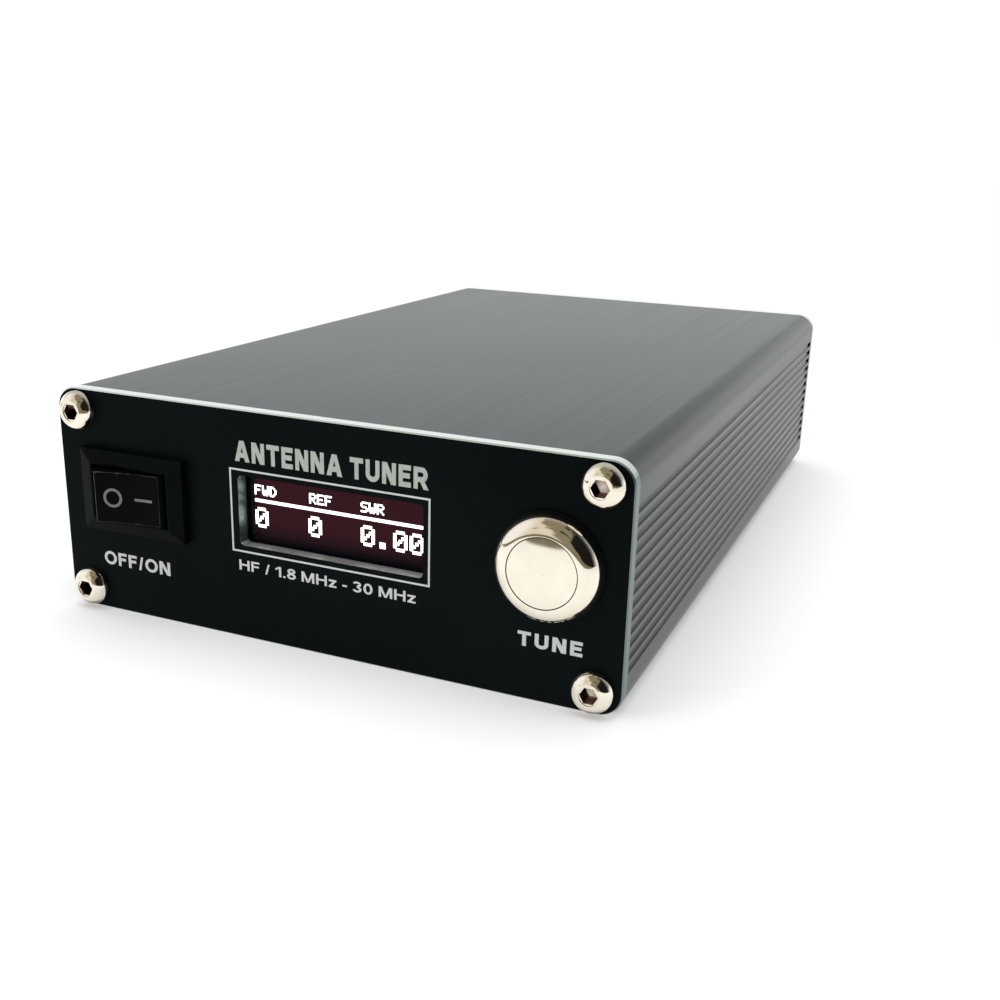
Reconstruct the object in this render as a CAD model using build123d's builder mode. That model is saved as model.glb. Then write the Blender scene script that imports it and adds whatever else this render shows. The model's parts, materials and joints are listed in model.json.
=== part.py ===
from build123d import *

import os
from math import cos, radians, sin, sqrt

# Automatic HF antenna tuner in a split, ribbed aluminium case.
# Millimetres. The origin is the centre of the underside, the front panel faces -Y,
# +X is to the right as seen from the front, and +Z is up.

# ---------------------------------------------------------------- driving sizes

case_width = 97.5
case_height = 37.5
case_depth = 155.0
corner_radius = 3.7
panel_thickness = 2.0
side_wall = 2.2
flat_wall = 1.8

groove_count = 13
groove_pitch = 1.975
groove_depth = 0.5
groove_width = 1.25

screw_inset_x = 4.35
screw_inset_z = 3.65
screw_thread_radius = 1.5
screw_head_radius = 3.25
screw_head_height = 2.1
screw_length = 8.0
boss_radius = 3.0

window_x, window_z = 1.63, 21.42
window_width, window_height = 31.85, 11.35

switch_x, switch_z = -33.85, 21.3
bezel_width, bezel_height = 19.8, 13.6
rocker_tilt = 10.5
lever_tilt = 8.0

button_x, button_z = 37.05, 21.0
button_bezel_radius = 8.0
button_thread_radius = 6.0
button_cap_radius = 5.15
button_travel = 2.0

board_bottom = 8.8
board_thickness = 1.6

socket_x, socket_z = 28.0, 18.75
socket_thread_radius = 7.94
socket_barrel_length = 11.0
socket_screw_offset = 9.05

usb_z = 6.83
lamp_z = 13.5

# ---------------------------------------------------------------- derived levels

front_face = -case_depth / 2
rear_face = case_depth / 2
sleeve_front = front_face + panel_thickness
sleeve_rear = rear_face - panel_thickness
sleeve_length = sleeve_rear - sleeve_front
mid_height = case_height / 2
board_top = board_bottom + board_thickness
inner_x = case_width / 2 - side_wall

screw_xs = (screw_inset_x - case_width / 2, case_width / 2 - screw_inset_x)
screw_zs = (screw_inset_z, case_height - screw_inset_z)
screw_points = [(x, z) for x in screw_xs for z in screw_zs]
socket_screw_points = [
    (x + dx, socket_z + dz)
    for x in (-socket_x, socket_x)
    for dx in (-socket_screw_offset, socket_screw_offset)
    for dz in (-socket_screw_offset, socket_screw_offset)
]

os.makedirs("parts", exist_ok=True)


def upright(y):
    """Sketch plane at depth y, where a sketch's x is X and its y is Z."""
    return Plane.XZ.offset(-y)


def save(piece, name):
    """Label a finished piece and write its STEP file."""
    piece.part.label = name
    export_step(piece.part, "parts/" + name + ".step")


# ---------------------------------------------------------------- case shells

# The two halves share one profile: a rounded box with ribbed sides, a screw boss in
# each corner, rails that hold the circuit board, and an overlapping joint hidden in
# the middle groove.

rail_reach = 2.0
rail_thickness = 1.35
rail_gap = 0.05
joint_reach = 1.55
joint_half_height = 3.25
tongue_thickness = 0.75
tongue_height = 1.85
tongue_gap = 0.1
groove_radius = (groove_width**2 / 4 + groove_depth**2) / (2 * groove_depth)


def shell_profile():
    """Draw the closed section of the case in the current sketch."""
    with Locations((0, mid_height)):
        RectangleRounded(case_width, case_height, corner_radius)
        Rectangle(2 * inner_x, case_height - 2 * flat_wall, mode=Mode.SUBTRACT)
    with Locations(*screw_points):
        Circle(boss_radius)
        Circle(screw_thread_radius, mode=Mode.SUBTRACT)
    for side in (-1, 1):
        with Locations((side * (inner_x - joint_reach / 2), mid_height)):
            Rectangle(joint_reach, 2 * joint_half_height)
        for number in range(groove_count):
            height = mid_height + (number - (groove_count - 1) / 2) * groove_pitch
            centre = case_width / 2 + groove_radius - groove_depth
            with Locations((side * centre, height)):
                Circle(groove_radius, mode=Mode.SUBTRACT)


with BuildPart() as case_bottom:
    with BuildSketch(upright(sleeve_front)):
        shell_profile()
        for side in (-1, 1):
            rail_x = side * (inner_x - rail_reach / 2)
            low_rail = board_bottom - rail_gap - rail_thickness / 2
            high_rail = board_top + rail_gap + rail_thickness / 2
            with Locations((rail_x, low_rail), (rail_x, high_rail)):
                Rectangle(rail_reach, rail_thickness)
        with Locations((0, mid_height + case_height / 2)):
            Rectangle(2 * case_width, case_height, mode=Mode.SUBTRACT)
        for side in (-1, 1):
            tongue_x = side * (inner_x - joint_reach + tongue_thickness / 2)
            with Locations((tongue_x, mid_height + tongue_height / 2)):
                Rectangle(tongue_thickness, tongue_height)
    extrude(amount=-sleeve_length)
save(case_bottom, "case_bottom")

with BuildPart() as case_top:
    with BuildSketch(upright(sleeve_front)):
        shell_profile()
        with Locations((0, mid_height - case_height / 2)):
            Rectangle(2 * case_width, case_height, mode=Mode.SUBTRACT)
        for side in (-1, 1):
            notch_width = tongue_thickness + tongue_gap
            notch_height = tongue_height + tongue_gap
            notch_x = side * (inner_x - joint_reach + notch_width / 2)
            with Locations((notch_x, mid_height + notch_height / 2)):
                Rectangle(notch_width, notch_height, mode=Mode.SUBTRACT)
    extrude(amount=-sleeve_length)
save(case_top, "case_top")

# ---------------------------------------------------------------- end panels

screw_hole_radius = 1.7
window_corner = 0.8
panel_edge_chamfer = 0.2
switch_hole_width, switch_hole_height = 18.4, 12.2
button_hole_radius = 6.1
socket_hole_radius = 7.8
usb_hole_width, usb_hole_height = 9.5, 3.8
lamp_hole_radius = 1.55

with BuildPart() as front_panel:
    with BuildSketch(upright(front_face)):
        with Locations((0, mid_height)):
            RectangleRounded(case_width, case_height, corner_radius)
        with Locations(*screw_points):
            Circle(screw_hole_radius, mode=Mode.SUBTRACT)
        with Locations((window_x, window_z)):
            RectangleRounded(window_width, window_height, window_corner, mode=Mode.SUBTRACT)
        with Locations((switch_x, switch_z)):
            Rectangle(switch_hole_width, switch_hole_height, mode=Mode.SUBTRACT)
        with Locations((button_x, button_z)):
            Circle(button_hole_radius, mode=Mode.SUBTRACT)
    extrude(amount=-panel_thickness)
    front_rim = front_panel.faces().sort_by(Axis.Y)[0].outer_wire().edges()
    chamfer(front_rim, length=panel_edge_chamfer)
save(front_panel, "front_panel")

with BuildPart() as rear_panel:
    with BuildSketch(upright(sleeve_rear)):
        with Locations((0, mid_height)):
            RectangleRounded(case_width, case_height, corner_radius)
        with Locations(*screw_points, *socket_screw_points):
            Circle(screw_hole_radius, mode=Mode.SUBTRACT)
        with Locations((-socket_x, socket_z), (socket_x, socket_z)):
            Circle(socket_hole_radius, mode=Mode.SUBTRACT)
        with Locations((0, usb_z)):
            SlotOverall(usb_hole_width, usb_hole_height, mode=Mode.SUBTRACT)
        with Locations((0, lamp_z)):
            Circle(lamp_hole_radius, mode=Mode.SUBTRACT)
    extrude(amount=-panel_thickness)
    rear_rim = rear_panel.faces().sort_by(Axis.Y)[-1].outer_wire().edges()
    chamfer(rear_rim, length=panel_edge_chamfer)
save(rear_panel, "rear_panel")

# ---------------------------------------------------------------- button-head screws

socket_across_flats = 2.4
socket_depth = 1.4
socket_rim_radius, socket_rim_depth = 1.5, 0.12
head_flat_radius = 1.8
head_rim = 0.35
tip_chamfer = 0.4
head_bulge = 0.25

with BuildPart() as button_head_screw:
    with BuildSketch(Plane.XY):
        with BuildLine():
            dome_x = (head_flat_radius + screw_head_radius) / 2 + head_bulge
            dome_y = -(screw_head_height + head_rim) / 2 - head_bulge
            Polyline((0, screw_length), (0, -screw_head_height), (head_flat_radius, -screw_head_height))
            ThreePointArc(
                (head_flat_radius, -screw_head_height), (dome_x, dome_y), (screw_head_radius, -head_rim)
            )
            Polyline(
                (screw_head_radius, -head_rim),
                (screw_head_radius, 0),
                (screw_thread_radius, 0),
                (screw_thread_radius, screw_length - tip_chamfer),
                (screw_thread_radius - tip_chamfer, screw_length),
                (0, screw_length),
            )
        make_face()
    revolve(axis=Axis.Y)
    with BuildSketch(upright(-screw_head_height)):
        Circle(socket_rim_radius)
    extrude(amount=-socket_rim_depth, mode=Mode.SUBTRACT)
    with BuildSketch(upright(-screw_head_height)):
        RegularPolygon(socket_across_flats / 2, 6, major_radius=False)
    extrude(amount=-socket_depth, mode=Mode.SUBTRACT)

with BuildPart() as front_panel_screws:
    with Locations(*[(x, front_face, z) for x, z in screw_points]):
        add(button_head_screw.part)
save(front_panel_screws, "front_panel_screws")

with BuildPart() as rear_panel_screws:
    with Locations(*[Location((x, rear_face, z), (0, 0, 180)) for x, z in screw_points]):
        add(button_head_screw.part)
save(rear_panel_screws, "rear_panel_screws")

# ---------------------------------------------------------------- rocker switch

bezel_side_height = 1.3
bezel_proud = 1.95
bezel_lip_width, bezel_lip_height = 15.3, 9.7
switch_body_width, switch_body_height = 18.0, 11.8
switch_body_depth = 14.0
switch_floor_depth = 11.5
rocker_opening_width, rocker_opening_height = 14.6, 9.0
rocker_radius = 7.1
rocker_height = 8.4
rocker_face_distance = 4.6
rocker_face_dip = 0.35
rocker_back = 2.5
pivot_depth = 1.0
trunnion_radius = 1.0
trunnion_length = 1.05
running_gap = 0.05
stem_radius = 2.1
stem_end = 4.6
stem_bore_radius = 1.3
spring_seat = 0.5
spring_top = 3.3
spring_wire = 0.18
spring_pitch = 0.6
spring_coil_radius = 0.95
plunger_nose = 0.9
plunger_radius = 1.2
plunger_tip = 6.9
lever_distance = 7.7
lever_thickness = 0.5
lever_length = 13.6
lever_width = 4.0
blade_thickness, blade_width = 0.8, 4.8
blade_tail = 8.0
blade_gap = 0.15
contact_offset = 6.3
clip_reach = 0.75
clip_height = 5.0
clip_run = 6.0
clip_step = 0.3
clip_clearance = 0.1
rocker_edge_radius = 0.25

pivot_y = front_face + pivot_depth
rocker_half_face = sqrt(rocker_radius**2 - rocker_face_distance**2)

with BuildPart() as switch_housing:
    with BuildSketch(upright(front_face)):
        with Locations((switch_x, switch_z)):
            Rectangle(bezel_width, bezel_height)
    extrude(amount=bezel_side_height)
    with BuildSketch(upright(front_face - bezel_side_height)):
        with Locations((switch_x, switch_z)):
            Rectangle(bezel_width, bezel_height)
    with BuildSketch(upright(front_face - bezel_proud)):
        with Locations((switch_x, switch_z)):
            Rectangle(bezel_lip_width, bezel_lip_height)
    loft()
    with BuildSketch(upright(front_face)):
        with Locations((switch_x, switch_z)):
            Rectangle(switch_body_width, switch_body_height)
    extrude(amount=-switch_body_depth)
    with BuildSketch(upright(front_face - bezel_proud)):
        with Locations((switch_x, switch_z)):
            Rectangle(rocker_opening_width, rocker_opening_height)
    extrude(amount=-(bezel_proud + switch_floor_depth), mode=Mode.SUBTRACT)
    # Blind bearing holes for the rocker's trunnions, in the two long walls.
    hole_depth = 2 * (rocker_height / 2 + trunnion_length + running_gap)
    with BuildSketch(Plane.XY.offset(switch_z - hole_depth / 2)):
        with Locations((switch_x, pivot_y)):
            Circle(trunnion_radius + running_gap)
    extrude(amount=hole_depth, mode=Mode.SUBTRACT)
    # Slots in the floor for the two blade terminals.
    with BuildSketch(upright(front_face + switch_body_depth)):
        with Locations((switch_x, switch_z), (switch_x - contact_offset, switch_z)):
            Rectangle(blade_thickness, blade_width)
    extrude(amount=switch_body_depth - switch_floor_depth, mode=Mode.SUBTRACT)
    # Snap clips on the short sides, which hold the switch behind the panel.
    clip_front = sleeve_front + clip_clearance
    clip_back = clip_front + clip_run
    for side in (-1, 1):
        wall_x = switch_x + side * switch_body_width / 2
        with BuildSketch(Plane.XY.offset(switch_z - clip_height / 2)):
            with BuildLine():
                Polyline(
                    (wall_x, clip_front),
                    (wall_x + side * clip_reach, clip_front + clip_step),
                    (wall_x, clip_back),
                    close=True,
                )
            make_face()
        extrude(amount=clip_height)
save(switch_housing, "switch_housing")


def rocker_plane(z):
    """Plane through the rocker's pivot at height z, turned to the ON position."""
    turn = radians(rocker_tilt)
    return Plane(origin=(switch_x, pivot_y, z), x_dir=(cos(turn), sin(turn), 0), z_dir=(0, 0, 1))


def rocker_facing(distance):
    """Plane across the rocker's stem, a distance behind the pivot."""
    turn = radians(rocker_tilt)
    behind = (-sin(turn), cos(turn), 0)
    start = (switch_x + distance * behind[0], pivot_y + distance * behind[1], switch_z)
    return Plane(origin=start, x_dir=(0, 0, 1), z_dir=behind)


with BuildPart() as switch_rocker:
    with BuildSketch(rocker_plane(switch_z - rocker_height / 2)):
        with BuildLine():
            back_half = sqrt(rocker_radius**2 - rocker_back**2)
            ThreePointArc(
                (-rocker_half_face, -rocker_face_distance),
                (0, rocker_face_dip - rocker_face_distance),
                (rocker_half_face, -rocker_face_distance),
            )
            ThreePointArc(
                (rocker_half_face, -rocker_face_distance), (rocker_radius, 0), (back_half, rocker_back)
            )
            Line((back_half, rocker_back), (-back_half, rocker_back))
            ThreePointArc(
                (-back_half, rocker_back), (-rocker_radius, 0), (-rocker_half_face, -rocker_face_distance)
            )
        make_face()
    extrude(amount=rocker_height)
    face_edges = switch_rocker.edges().filter_by(lambda e: e.center().Y < pivot_y - rocker_back)
    fillet(face_edges, radius=rocker_edge_radius)
    trunnion_span = rocker_height + 2 * trunnion_length
    with BuildSketch(Plane.XY.offset(switch_z - trunnion_span / 2)):
        with Locations((switch_x, pivot_y)):
            Circle(trunnion_radius)
    extrude(amount=trunnion_span)
    with BuildSketch(rocker_facing(0)):
        Circle(stem_radius)
    extrude(amount=stem_end)
    with BuildSketch(rocker_facing(spring_seat)):
        Circle(stem_bore_radius)
    extrude(amount=stem_end, mode=Mode.SUBTRACT)
save(switch_rocker, "switch_rocker")

with BuildPart() as switch_spring:
    spring_plane = rocker_facing(spring_seat + spring_wire)
    spring_height = spring_top - spring_seat - 2 * spring_wire
    with BuildLine() as switch_coil:
        Helix(
            spring_pitch,
            spring_height,
            spring_coil_radius,
            center=spring_plane.origin,
            direction=spring_plane.z_dir,
        )
    with BuildSketch(Plane(origin=switch_coil.line @ 0, z_dir=switch_coil.line % 0)):
        Circle(spring_wire)
    sweep()
save(switch_spring, "switch_spring")

with BuildPart() as switch_plunger:
    with BuildSketch(rocker_facing(spring_top)):
        Circle(plunger_radius)
    extrude(amount=plunger_tip - spring_top)
    tip_edge = switch_plunger.edges().sort_by(Axis.Y)[-1]
    fillet(tip_edge, radius=plunger_nose)
save(switch_plunger, "switch_plunger")

lever_turn = radians(-lever_tilt)
lever_y = pivot_y + lever_distance
with BuildPart() as switch_contact_lever:
    lever_plane = Plane(
        origin=(switch_x, lever_y, switch_z - lever_width / 2),
        x_dir=(cos(lever_turn), sin(lever_turn), 0),
        z_dir=(0, 0, 1),
    )
    with BuildSketch(lever_plane):
        with Locations((0, -lever_thickness / 2)):
            Rectangle(lever_length, lever_thickness)
    extrude(amount=lever_width)
save(switch_contact_lever, "switch_contact_lever")

fulcrum_tip = lever_y + blade_gap
contact_tip = lever_y + contact_offset * sin(radians(lever_tilt)) + blade_gap
blade_end = front_face + switch_body_depth + blade_tail
with BuildPart() as switch_terminals:
    for blade_x, blade_tip in ((switch_x, fulcrum_tip), (switch_x - contact_offset, contact_tip)):
        with BuildSketch(upright(blade_tip)):
            with Locations((blade_x, switch_z)):
                Rectangle(blade_thickness, blade_width)
        extrude(amount=-(blade_end - blade_tip))
save(switch_terminals, "switch_terminals")

# ---------------------------------------------------------------- tune button

seal_thickness = 0.4
seal_inner_radius, seal_outer_radius = 6.15, 8.3
button_rim_height = 0.4
button_proud = 2.7
button_bore_radius = 5.3
button_body_depth = 14.0
web_front, web_thickness = 5.6, 1.0
web_bore_radius = 3.15
rear_bore_radius = 5.0
nut_thickness = 2.0
nut_flats = 14.0
cap_dome = 0.35
cap_thickness = 2.6
cap_stem_radius = 3.0
bridge_radius, bridge_thickness = 4.2, 0.5
base_front, base_back = 9.5, 15.5
seal_edge_radius = 0.15
bezel_bulge_out, bezel_bulge_up = 0.46, 0.42
cap_sink = 0.05
stem_clearance = 0.1
dome_half_way = 0.76
button_wire = 0.3
button_coil_radius = 4.1
button_coil_turns = 2.5
pin_radius = 0.6
pin_offset = 2.5
pin_tail = 4.0
pin_tip = 0.2

seal_front = front_face - seal_thickness
button_origin = Plane.XY.offset(button_z)
button_axis = Axis((button_x, 0, button_z), (0, 1, 0))
web_y = seal_front + web_front

with BuildPart() as tune_button_seal:
    with BuildSketch(upright(front_face)):
        with Locations((button_x, button_z)):
            Circle(seal_outer_radius)
            Circle(seal_inner_radius, mode=Mode.SUBTRACT)
    extrude(amount=seal_thickness)
    seal_edge = tune_button_seal.edges().filter_by(GeomType.CIRCLE).sort_by(Edge.length.fget)[-2:]
    fillet(seal_edge, radius=seal_edge_radius)
save(tune_button_seal, "tune_button_seal")

with BuildPart() as tune_button_housing:
    with BuildSketch(button_origin):
        with BuildLine():
            rim_y = seal_front - button_rim_height
            lip_y = seal_front - button_proud
            lip_x = button_x + button_bore_radius
            rim_x = button_x + button_bezel_radius
            thread_x = button_x + button_thread_radius
            bulge = ((lip_x + rim_x) / 2 + bezel_bulge_out, (lip_y + rim_y) / 2 - bezel_bulge_up)
            Line((rim_x, seal_front), (rim_x, rim_y))
            ThreePointArc((rim_x, rim_y), bulge, (lip_x, lip_y))
            Polyline(
                (lip_x, lip_y),
                (lip_x, web_y),
                (button_x + web_bore_radius, web_y),
                (button_x + web_bore_radius, web_y + web_thickness),
                (button_x + rear_bore_radius, web_y + web_thickness),
                (button_x + rear_bore_radius, seal_front + button_body_depth),
                (thread_x, seal_front + button_body_depth),
                (thread_x, seal_front),
                (rim_x, seal_front),
            )
        make_face()
    revolve(axis=button_axis)
save(tune_button_housing, "tune_button_housing")

with BuildPart() as tune_button_cap:
    with BuildSketch(button_origin):
        with BuildLine():
            cap_rim_y = seal_front - button_proud + cap_sink
            cap_back_y = cap_rim_y + cap_thickness
            stem_back_y = web_y + web_thickness + stem_clearance
            edge_x = button_x + button_cap_radius
            middle_x = button_x + button_cap_radius / 2
            Line((button_x, stem_back_y), (button_x, cap_rim_y - cap_dome))
            ThreePointArc(
                (button_x, cap_rim_y - cap_dome),
                (middle_x, cap_rim_y - dome_half_way * cap_dome),
                (edge_x, cap_rim_y),
            )
            Polyline(
                (edge_x, cap_rim_y),
                (edge_x, cap_back_y),
                (button_x + cap_stem_radius, cap_back_y),
                (button_x + cap_stem_radius, stem_back_y),
                (button_x, stem_back_y),
            )
        make_face()
    revolve(axis=button_axis)
save(tune_button_cap, "tune_button_cap")

with BuildPart() as tune_button_contact:
    with BuildSketch(upright(stem_back_y)):
        with Locations((button_x, button_z)):
            Circle(bridge_radius)
    extrude(amount=-bridge_thickness)
save(tune_button_contact, "tune_button_contact")

with BuildPart() as tune_button_spring:
    coil_start = cap_back_y + button_wire
    coil_height = web_y - cap_back_y - 2 * button_wire
    coil_base = (button_x, coil_start, button_z)
    with BuildLine() as button_coil:
        Helix(
            coil_height / button_coil_turns,
            coil_height,
            button_coil_radius,
            center=coil_base,
            direction=(0, 1, 0),
        )
    with BuildSketch(Plane(origin=button_coil.line @ 0, z_dir=button_coil.line % 0)):
        Circle(button_wire)
    sweep()
save(tune_button_spring, "tune_button_spring")

with BuildPart() as tune_button_base:
    with BuildSketch(upright(seal_front + base_front)):
        with Locations((button_x, button_z)):
            Circle(rear_bore_radius - running_gap)
        with Locations((button_x - pin_offset, button_z), (button_x + pin_offset, button_z)):
            Circle(pin_radius, mode=Mode.SUBTRACT)
    extrude(amount=-(base_back - base_front))
save(tune_button_base, "tune_button_base")

with BuildPart() as tune_button_terminals:
    with BuildSketch(upright(seal_front + base_front - pin_tip)):
        with Locations((button_x - pin_offset, button_z), (button_x + pin_offset, button_z)):
            Circle(pin_radius)
    extrude(amount=-(base_back - base_front + pin_tip + pin_tail))
save(tune_button_terminals, "tune_button_terminals")

with BuildPart() as tune_button_nut:
    with BuildSketch(upright(sleeve_front)):
        with Locations((button_x, button_z)):
            RegularPolygon(nut_flats / 2, 6, major_radius=False, rotation=30)
            Circle(button_thread_radius, mode=Mode.SUBTRACT)
    extrude(amount=-nut_thickness)
save(tune_button_nut, "tune_button_nut")

# ---------------------------------------------------------------- display module

gasket_thickness = 0.7
gasket_width, gasket_height = 38.0, 17.5
gasket_opening_width, gasket_opening_height = 32.5, 12.0
glass_width, glass_height, glass_thickness = 34.5, 23.0, 1.5
glass_z = 15.9
display_width, display_height, display_thickness = 35.4, 33.4, 1.2
header_pins = 4
header_pitch = 2.54
header_z = 33.0
header_depth, header_tail = 2.5, 4.0
header_pin_radius, header_hole_radius = 0.35, 0.5
header_pin_start = 0.1
display_hole_radius = 1.5
display_hole_x, display_hole_z = 15.2, 14.4

with BuildPart() as display_gasket:
    with BuildSketch(upright(sleeve_front)):
        with Locations((window_x, window_z)):
            Rectangle(gasket_width, gasket_height)
            Rectangle(gasket_opening_width, gasket_opening_height, mode=Mode.SUBTRACT)
    extrude(amount=-gasket_thickness)
save(display_gasket, "display_gasket")

glass_front = sleeve_front + gasket_thickness
with BuildPart() as display_glass:
    with BuildSketch(upright(glass_front)):
        with Locations((window_x, glass_z)):
            Rectangle(glass_width, glass_height)
    extrude(amount=-glass_thickness)
save(display_glass, "display_glass")

display_board_front = glass_front + glass_thickness
with BuildPart() as display_board:
    with BuildSketch(upright(display_board_front)):
        with Locations((window_x, mid_height)):
            Rectangle(display_width, display_height)
        with Locations((window_x, mid_height)):
            with GridLocations(2 * display_hole_x, 2 * display_hole_z, 2, 2):
                Circle(display_hole_radius, mode=Mode.SUBTRACT)
        with Locations((window_x, header_z)):
            with GridLocations(header_pitch, header_pitch, header_pins, 1):
                Circle(header_hole_radius, mode=Mode.SUBTRACT)
    extrude(amount=-display_thickness)
save(display_board, "display_board")

display_board_back = display_board_front + display_thickness
with BuildPart() as display_header:
    with BuildSketch(upright(display_board_back)):
        with Locations((window_x, header_z)):
            Rectangle(header_pins * header_pitch, header_pitch)
    extrude(amount=-header_depth)
    with BuildSketch(upright(display_board_front + header_pin_start)):
        with Locations((window_x, header_z)):
            with GridLocations(header_pitch, header_pitch, header_pins, 1):
                Circle(header_pin_radius)
    extrude(amount=-(display_thickness + header_depth + header_tail - header_pin_start))
save(display_header, "display_header")

# ---------------------------------------------------------------- main board

board_side_gap = 0.35
board_half_width = inner_x - board_side_gap
board_front, board_back = -68.0, 70.0

with BuildPart() as main_board:
    with BuildSketch(Plane.XY.offset(board_bottom)):
        with Locations((0, (board_front + board_back) / 2)):
            Rectangle(2 * board_half_width, board_back - board_front)
    extrude(amount=board_thickness)
save(main_board, "main_board")

# Power relays in two banks: one switches the inductors, one the capacitors, and a
# single relay swaps the capacitor bank from the input to the output side.

bank_count = 7
bank_pitch = 10.5
bank_start = -36.0
bank_x = 33.0
relay_length, relay_width, relay_height = 20.5, 7.2, 15.3
mode_relay_y = 65.6
relay_corner = 0.4

with BuildPart() as inductor_relays:
    for number in range(bank_count):
        with BuildSketch(Plane.XY.offset(board_top)):
            with Locations((-bank_x, bank_start + number * bank_pitch)):
                RectangleRounded(relay_length, relay_width, relay_corner)
        extrude(amount=relay_height)
save(inductor_relays, "inductor_relays")

with BuildPart() as capacitor_relays:
    for number in range(bank_count):
        with BuildSketch(Plane.XY.offset(board_top)):
            with Locations((bank_x, bank_start + number * bank_pitch)):
                RectangleRounded(relay_length, relay_width, relay_corner)
        extrude(amount=relay_height)
save(capacitor_relays, "capacitor_relays")

with BuildPart() as mode_relay:
    with BuildSketch(Plane.XY.offset(board_top)):
        with Locations((0, mode_relay_y)):
            RectangleRounded(relay_length, relay_width, relay_corner)
    extrude(amount=relay_height)
save(mode_relay, "mode_relay")

# Ring-core inductors lie flat on the board. Each winding wraps its core closely.

large_points = [(0, -18.5), (0, 18.5)]
large_outer, large_inner, large_height = 16.5, 9.9, 11.1
small_points = [(-10.6, 48.0), (10.6, 48.0)]
small_outer, small_inner, small_height = 8.8, 4.7, 4.8
coupler_points = [(36.5, 42.0), (36.5, 57.0)]
coupler_outer, coupler_inner, coupler_height = 6.35, 3.6, 4.9
large_wire, small_wire, coupler_wire = 1.3, 1.0, 0.8
winding_round = 0.8


def ring_cores(points, outer, inner, height, wire):
    """Ring cores, each standing one wire above the board."""
    with BuildPart() as cores:
        with BuildSketch(Plane.XY.offset(board_top + wire)):
            with Locations(*points):
                Circle(outer)
                Circle(inner, mode=Mode.SUBTRACT)
        extrude(amount=height)
    return cores


def ring_windings(points, outer, inner, height, wire, arc):
    """A close winding around each ring core, over part of its turn."""
    with BuildPart() as windings:
        for x, y in points:
            middle = (outer + inner) / 2
            low = board_top + wire
            with BuildSketch(Plane(origin=(x, y, 0), x_dir=(1, 0, 0), z_dir=(0, -1, 0))):
                with Locations((middle, low + height / 2)):
                    RectangleRounded(outer - inner + 2 * wire, height + 2 * wire, winding_round * wire)
                    Rectangle(outer - inner, height, mode=Mode.SUBTRACT)
            revolve(axis=Axis((x, y, 0), (0, 0, 1)), revolution_arc=arc)
    return windings


large_ring = (large_points, large_outer, large_inner, large_height, large_wire)
small_ring = (small_points, small_outer, small_inner, small_height, small_wire)
coupler_ring = (coupler_points, coupler_outer, coupler_inner, coupler_height, coupler_wire)
for ring_name, ring_sizes, winding_arc in (
    ("large_toroid", large_ring, 310),
    ("small_toroid", small_ring, 290),
    ("coupler", coupler_ring, 270),
):
    save(ring_cores(*ring_sizes), ring_name + "_cores")
    save(ring_windings(*ring_sizes, winding_arc), ring_name + "_windings")

# Three air-wound coils make the smallest steps of inductance.

coil_wire_radius = 0.65
coil_radius = 3.8
coil_x = -38.0
coil_turns = (3, 4, 5)
coil_pitch = 2.0
coil_ys = (38.5, 47.5, 56.5)
coil_gap = 0.05
coil_z = board_top + coil_radius + coil_wire_radius + coil_gap

with BuildPart() as air_coils:
    for turns, coil_y in zip(coil_turns, coil_ys):
        coil_start_point = (coil_x, coil_y, coil_z)
        coil_length = turns * coil_pitch
        with BuildLine() as coil_path:
            Helix(coil_pitch, coil_length, coil_radius, center=coil_start_point, direction=(1, 0, 0))
        with BuildSketch(Plane(origin=coil_path.line @ 0, z_dir=coil_path.line % 0)):
            Circle(coil_wire_radius)
        sweep()
save(air_coils, "air_coils")

# Small parts on the board.

chip_count = 14
chip_length, chip_width, chip_height = 3.2, 2.5, 1.8
chip_x = 20.4
chip_spacing = 5.25

with BuildPart() as tuning_capacitors:
    with BuildSketch(Plane.XY.offset(board_top)):
        with Locations((chip_x, 0)):
            with GridLocations(chip_length, chip_spacing, 1, chip_count):
                Rectangle(chip_length, chip_width)
    extrude(amount=chip_height)
save(tuning_capacitors, "tuning_capacitors")

package_width, package_thickness, package_lift = 7.5, 2.35, 0.2
pin_row_pitch, pin_row_spacing = 1.27, 9.0
package_pin_width, package_pin_length, package_pin_height = 0.42, 1.6, 0.9


def chip_packages(points, length, pins_per_side):
    """Surface-mounted packages with a row of leads down each long side."""
    with BuildPart() as packages:
        with BuildSketch(Plane.XY.offset(board_top + package_lift)):
            with Locations(*points):
                Rectangle(length, package_width)
        extrude(amount=package_thickness)
        with BuildSketch(Plane.XY.offset(board_top)):
            with Locations(*points):
                with GridLocations(pin_row_pitch, pin_row_spacing, pins_per_side, 2):
                    Rectangle(package_pin_width, package_pin_length)
        extrude(amount=package_pin_height)
    return packages


controller_point = (2.0, -50.0)
driver_points = [(-10.5, -62.0), (14.5, -62.0)]
save(chip_packages([controller_point], 17.9, 14), "microcontroller")
save(chip_packages(driver_points, 11.5, 8), "relay_drivers")

regulator_point = (-20.0, -46.0)
regulator_length, regulator_width, regulator_height = 6.5, 6.1, 2.3
with BuildPart() as voltage_regulator:
    with BuildSketch(Plane.XY.offset(board_top)):
        with Locations(regulator_point):
            Rectangle(regulator_length, regulator_width)
    extrude(amount=regulator_height)
save(voltage_regulator, "voltage_regulator")

filter_points = [(19.0, -50.0), (-27.0, -46.0)]
can_radius, can_height, can_edge = 3.15, 7.0, 0.5
with BuildPart() as filter_capacitors:
    with BuildSketch(Plane.XY.offset(board_top)):
        with Locations(*filter_points):
            Circle(can_radius)
    extrude(amount=can_height)
    capacitor_tops = filter_capacitors.faces().filter_by(Axis.Z).group_by(Axis.Z)[-1].edges()
    fillet(capacitor_tops, radius=can_edge)
save(filter_capacitors, "filter_capacitors")

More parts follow.
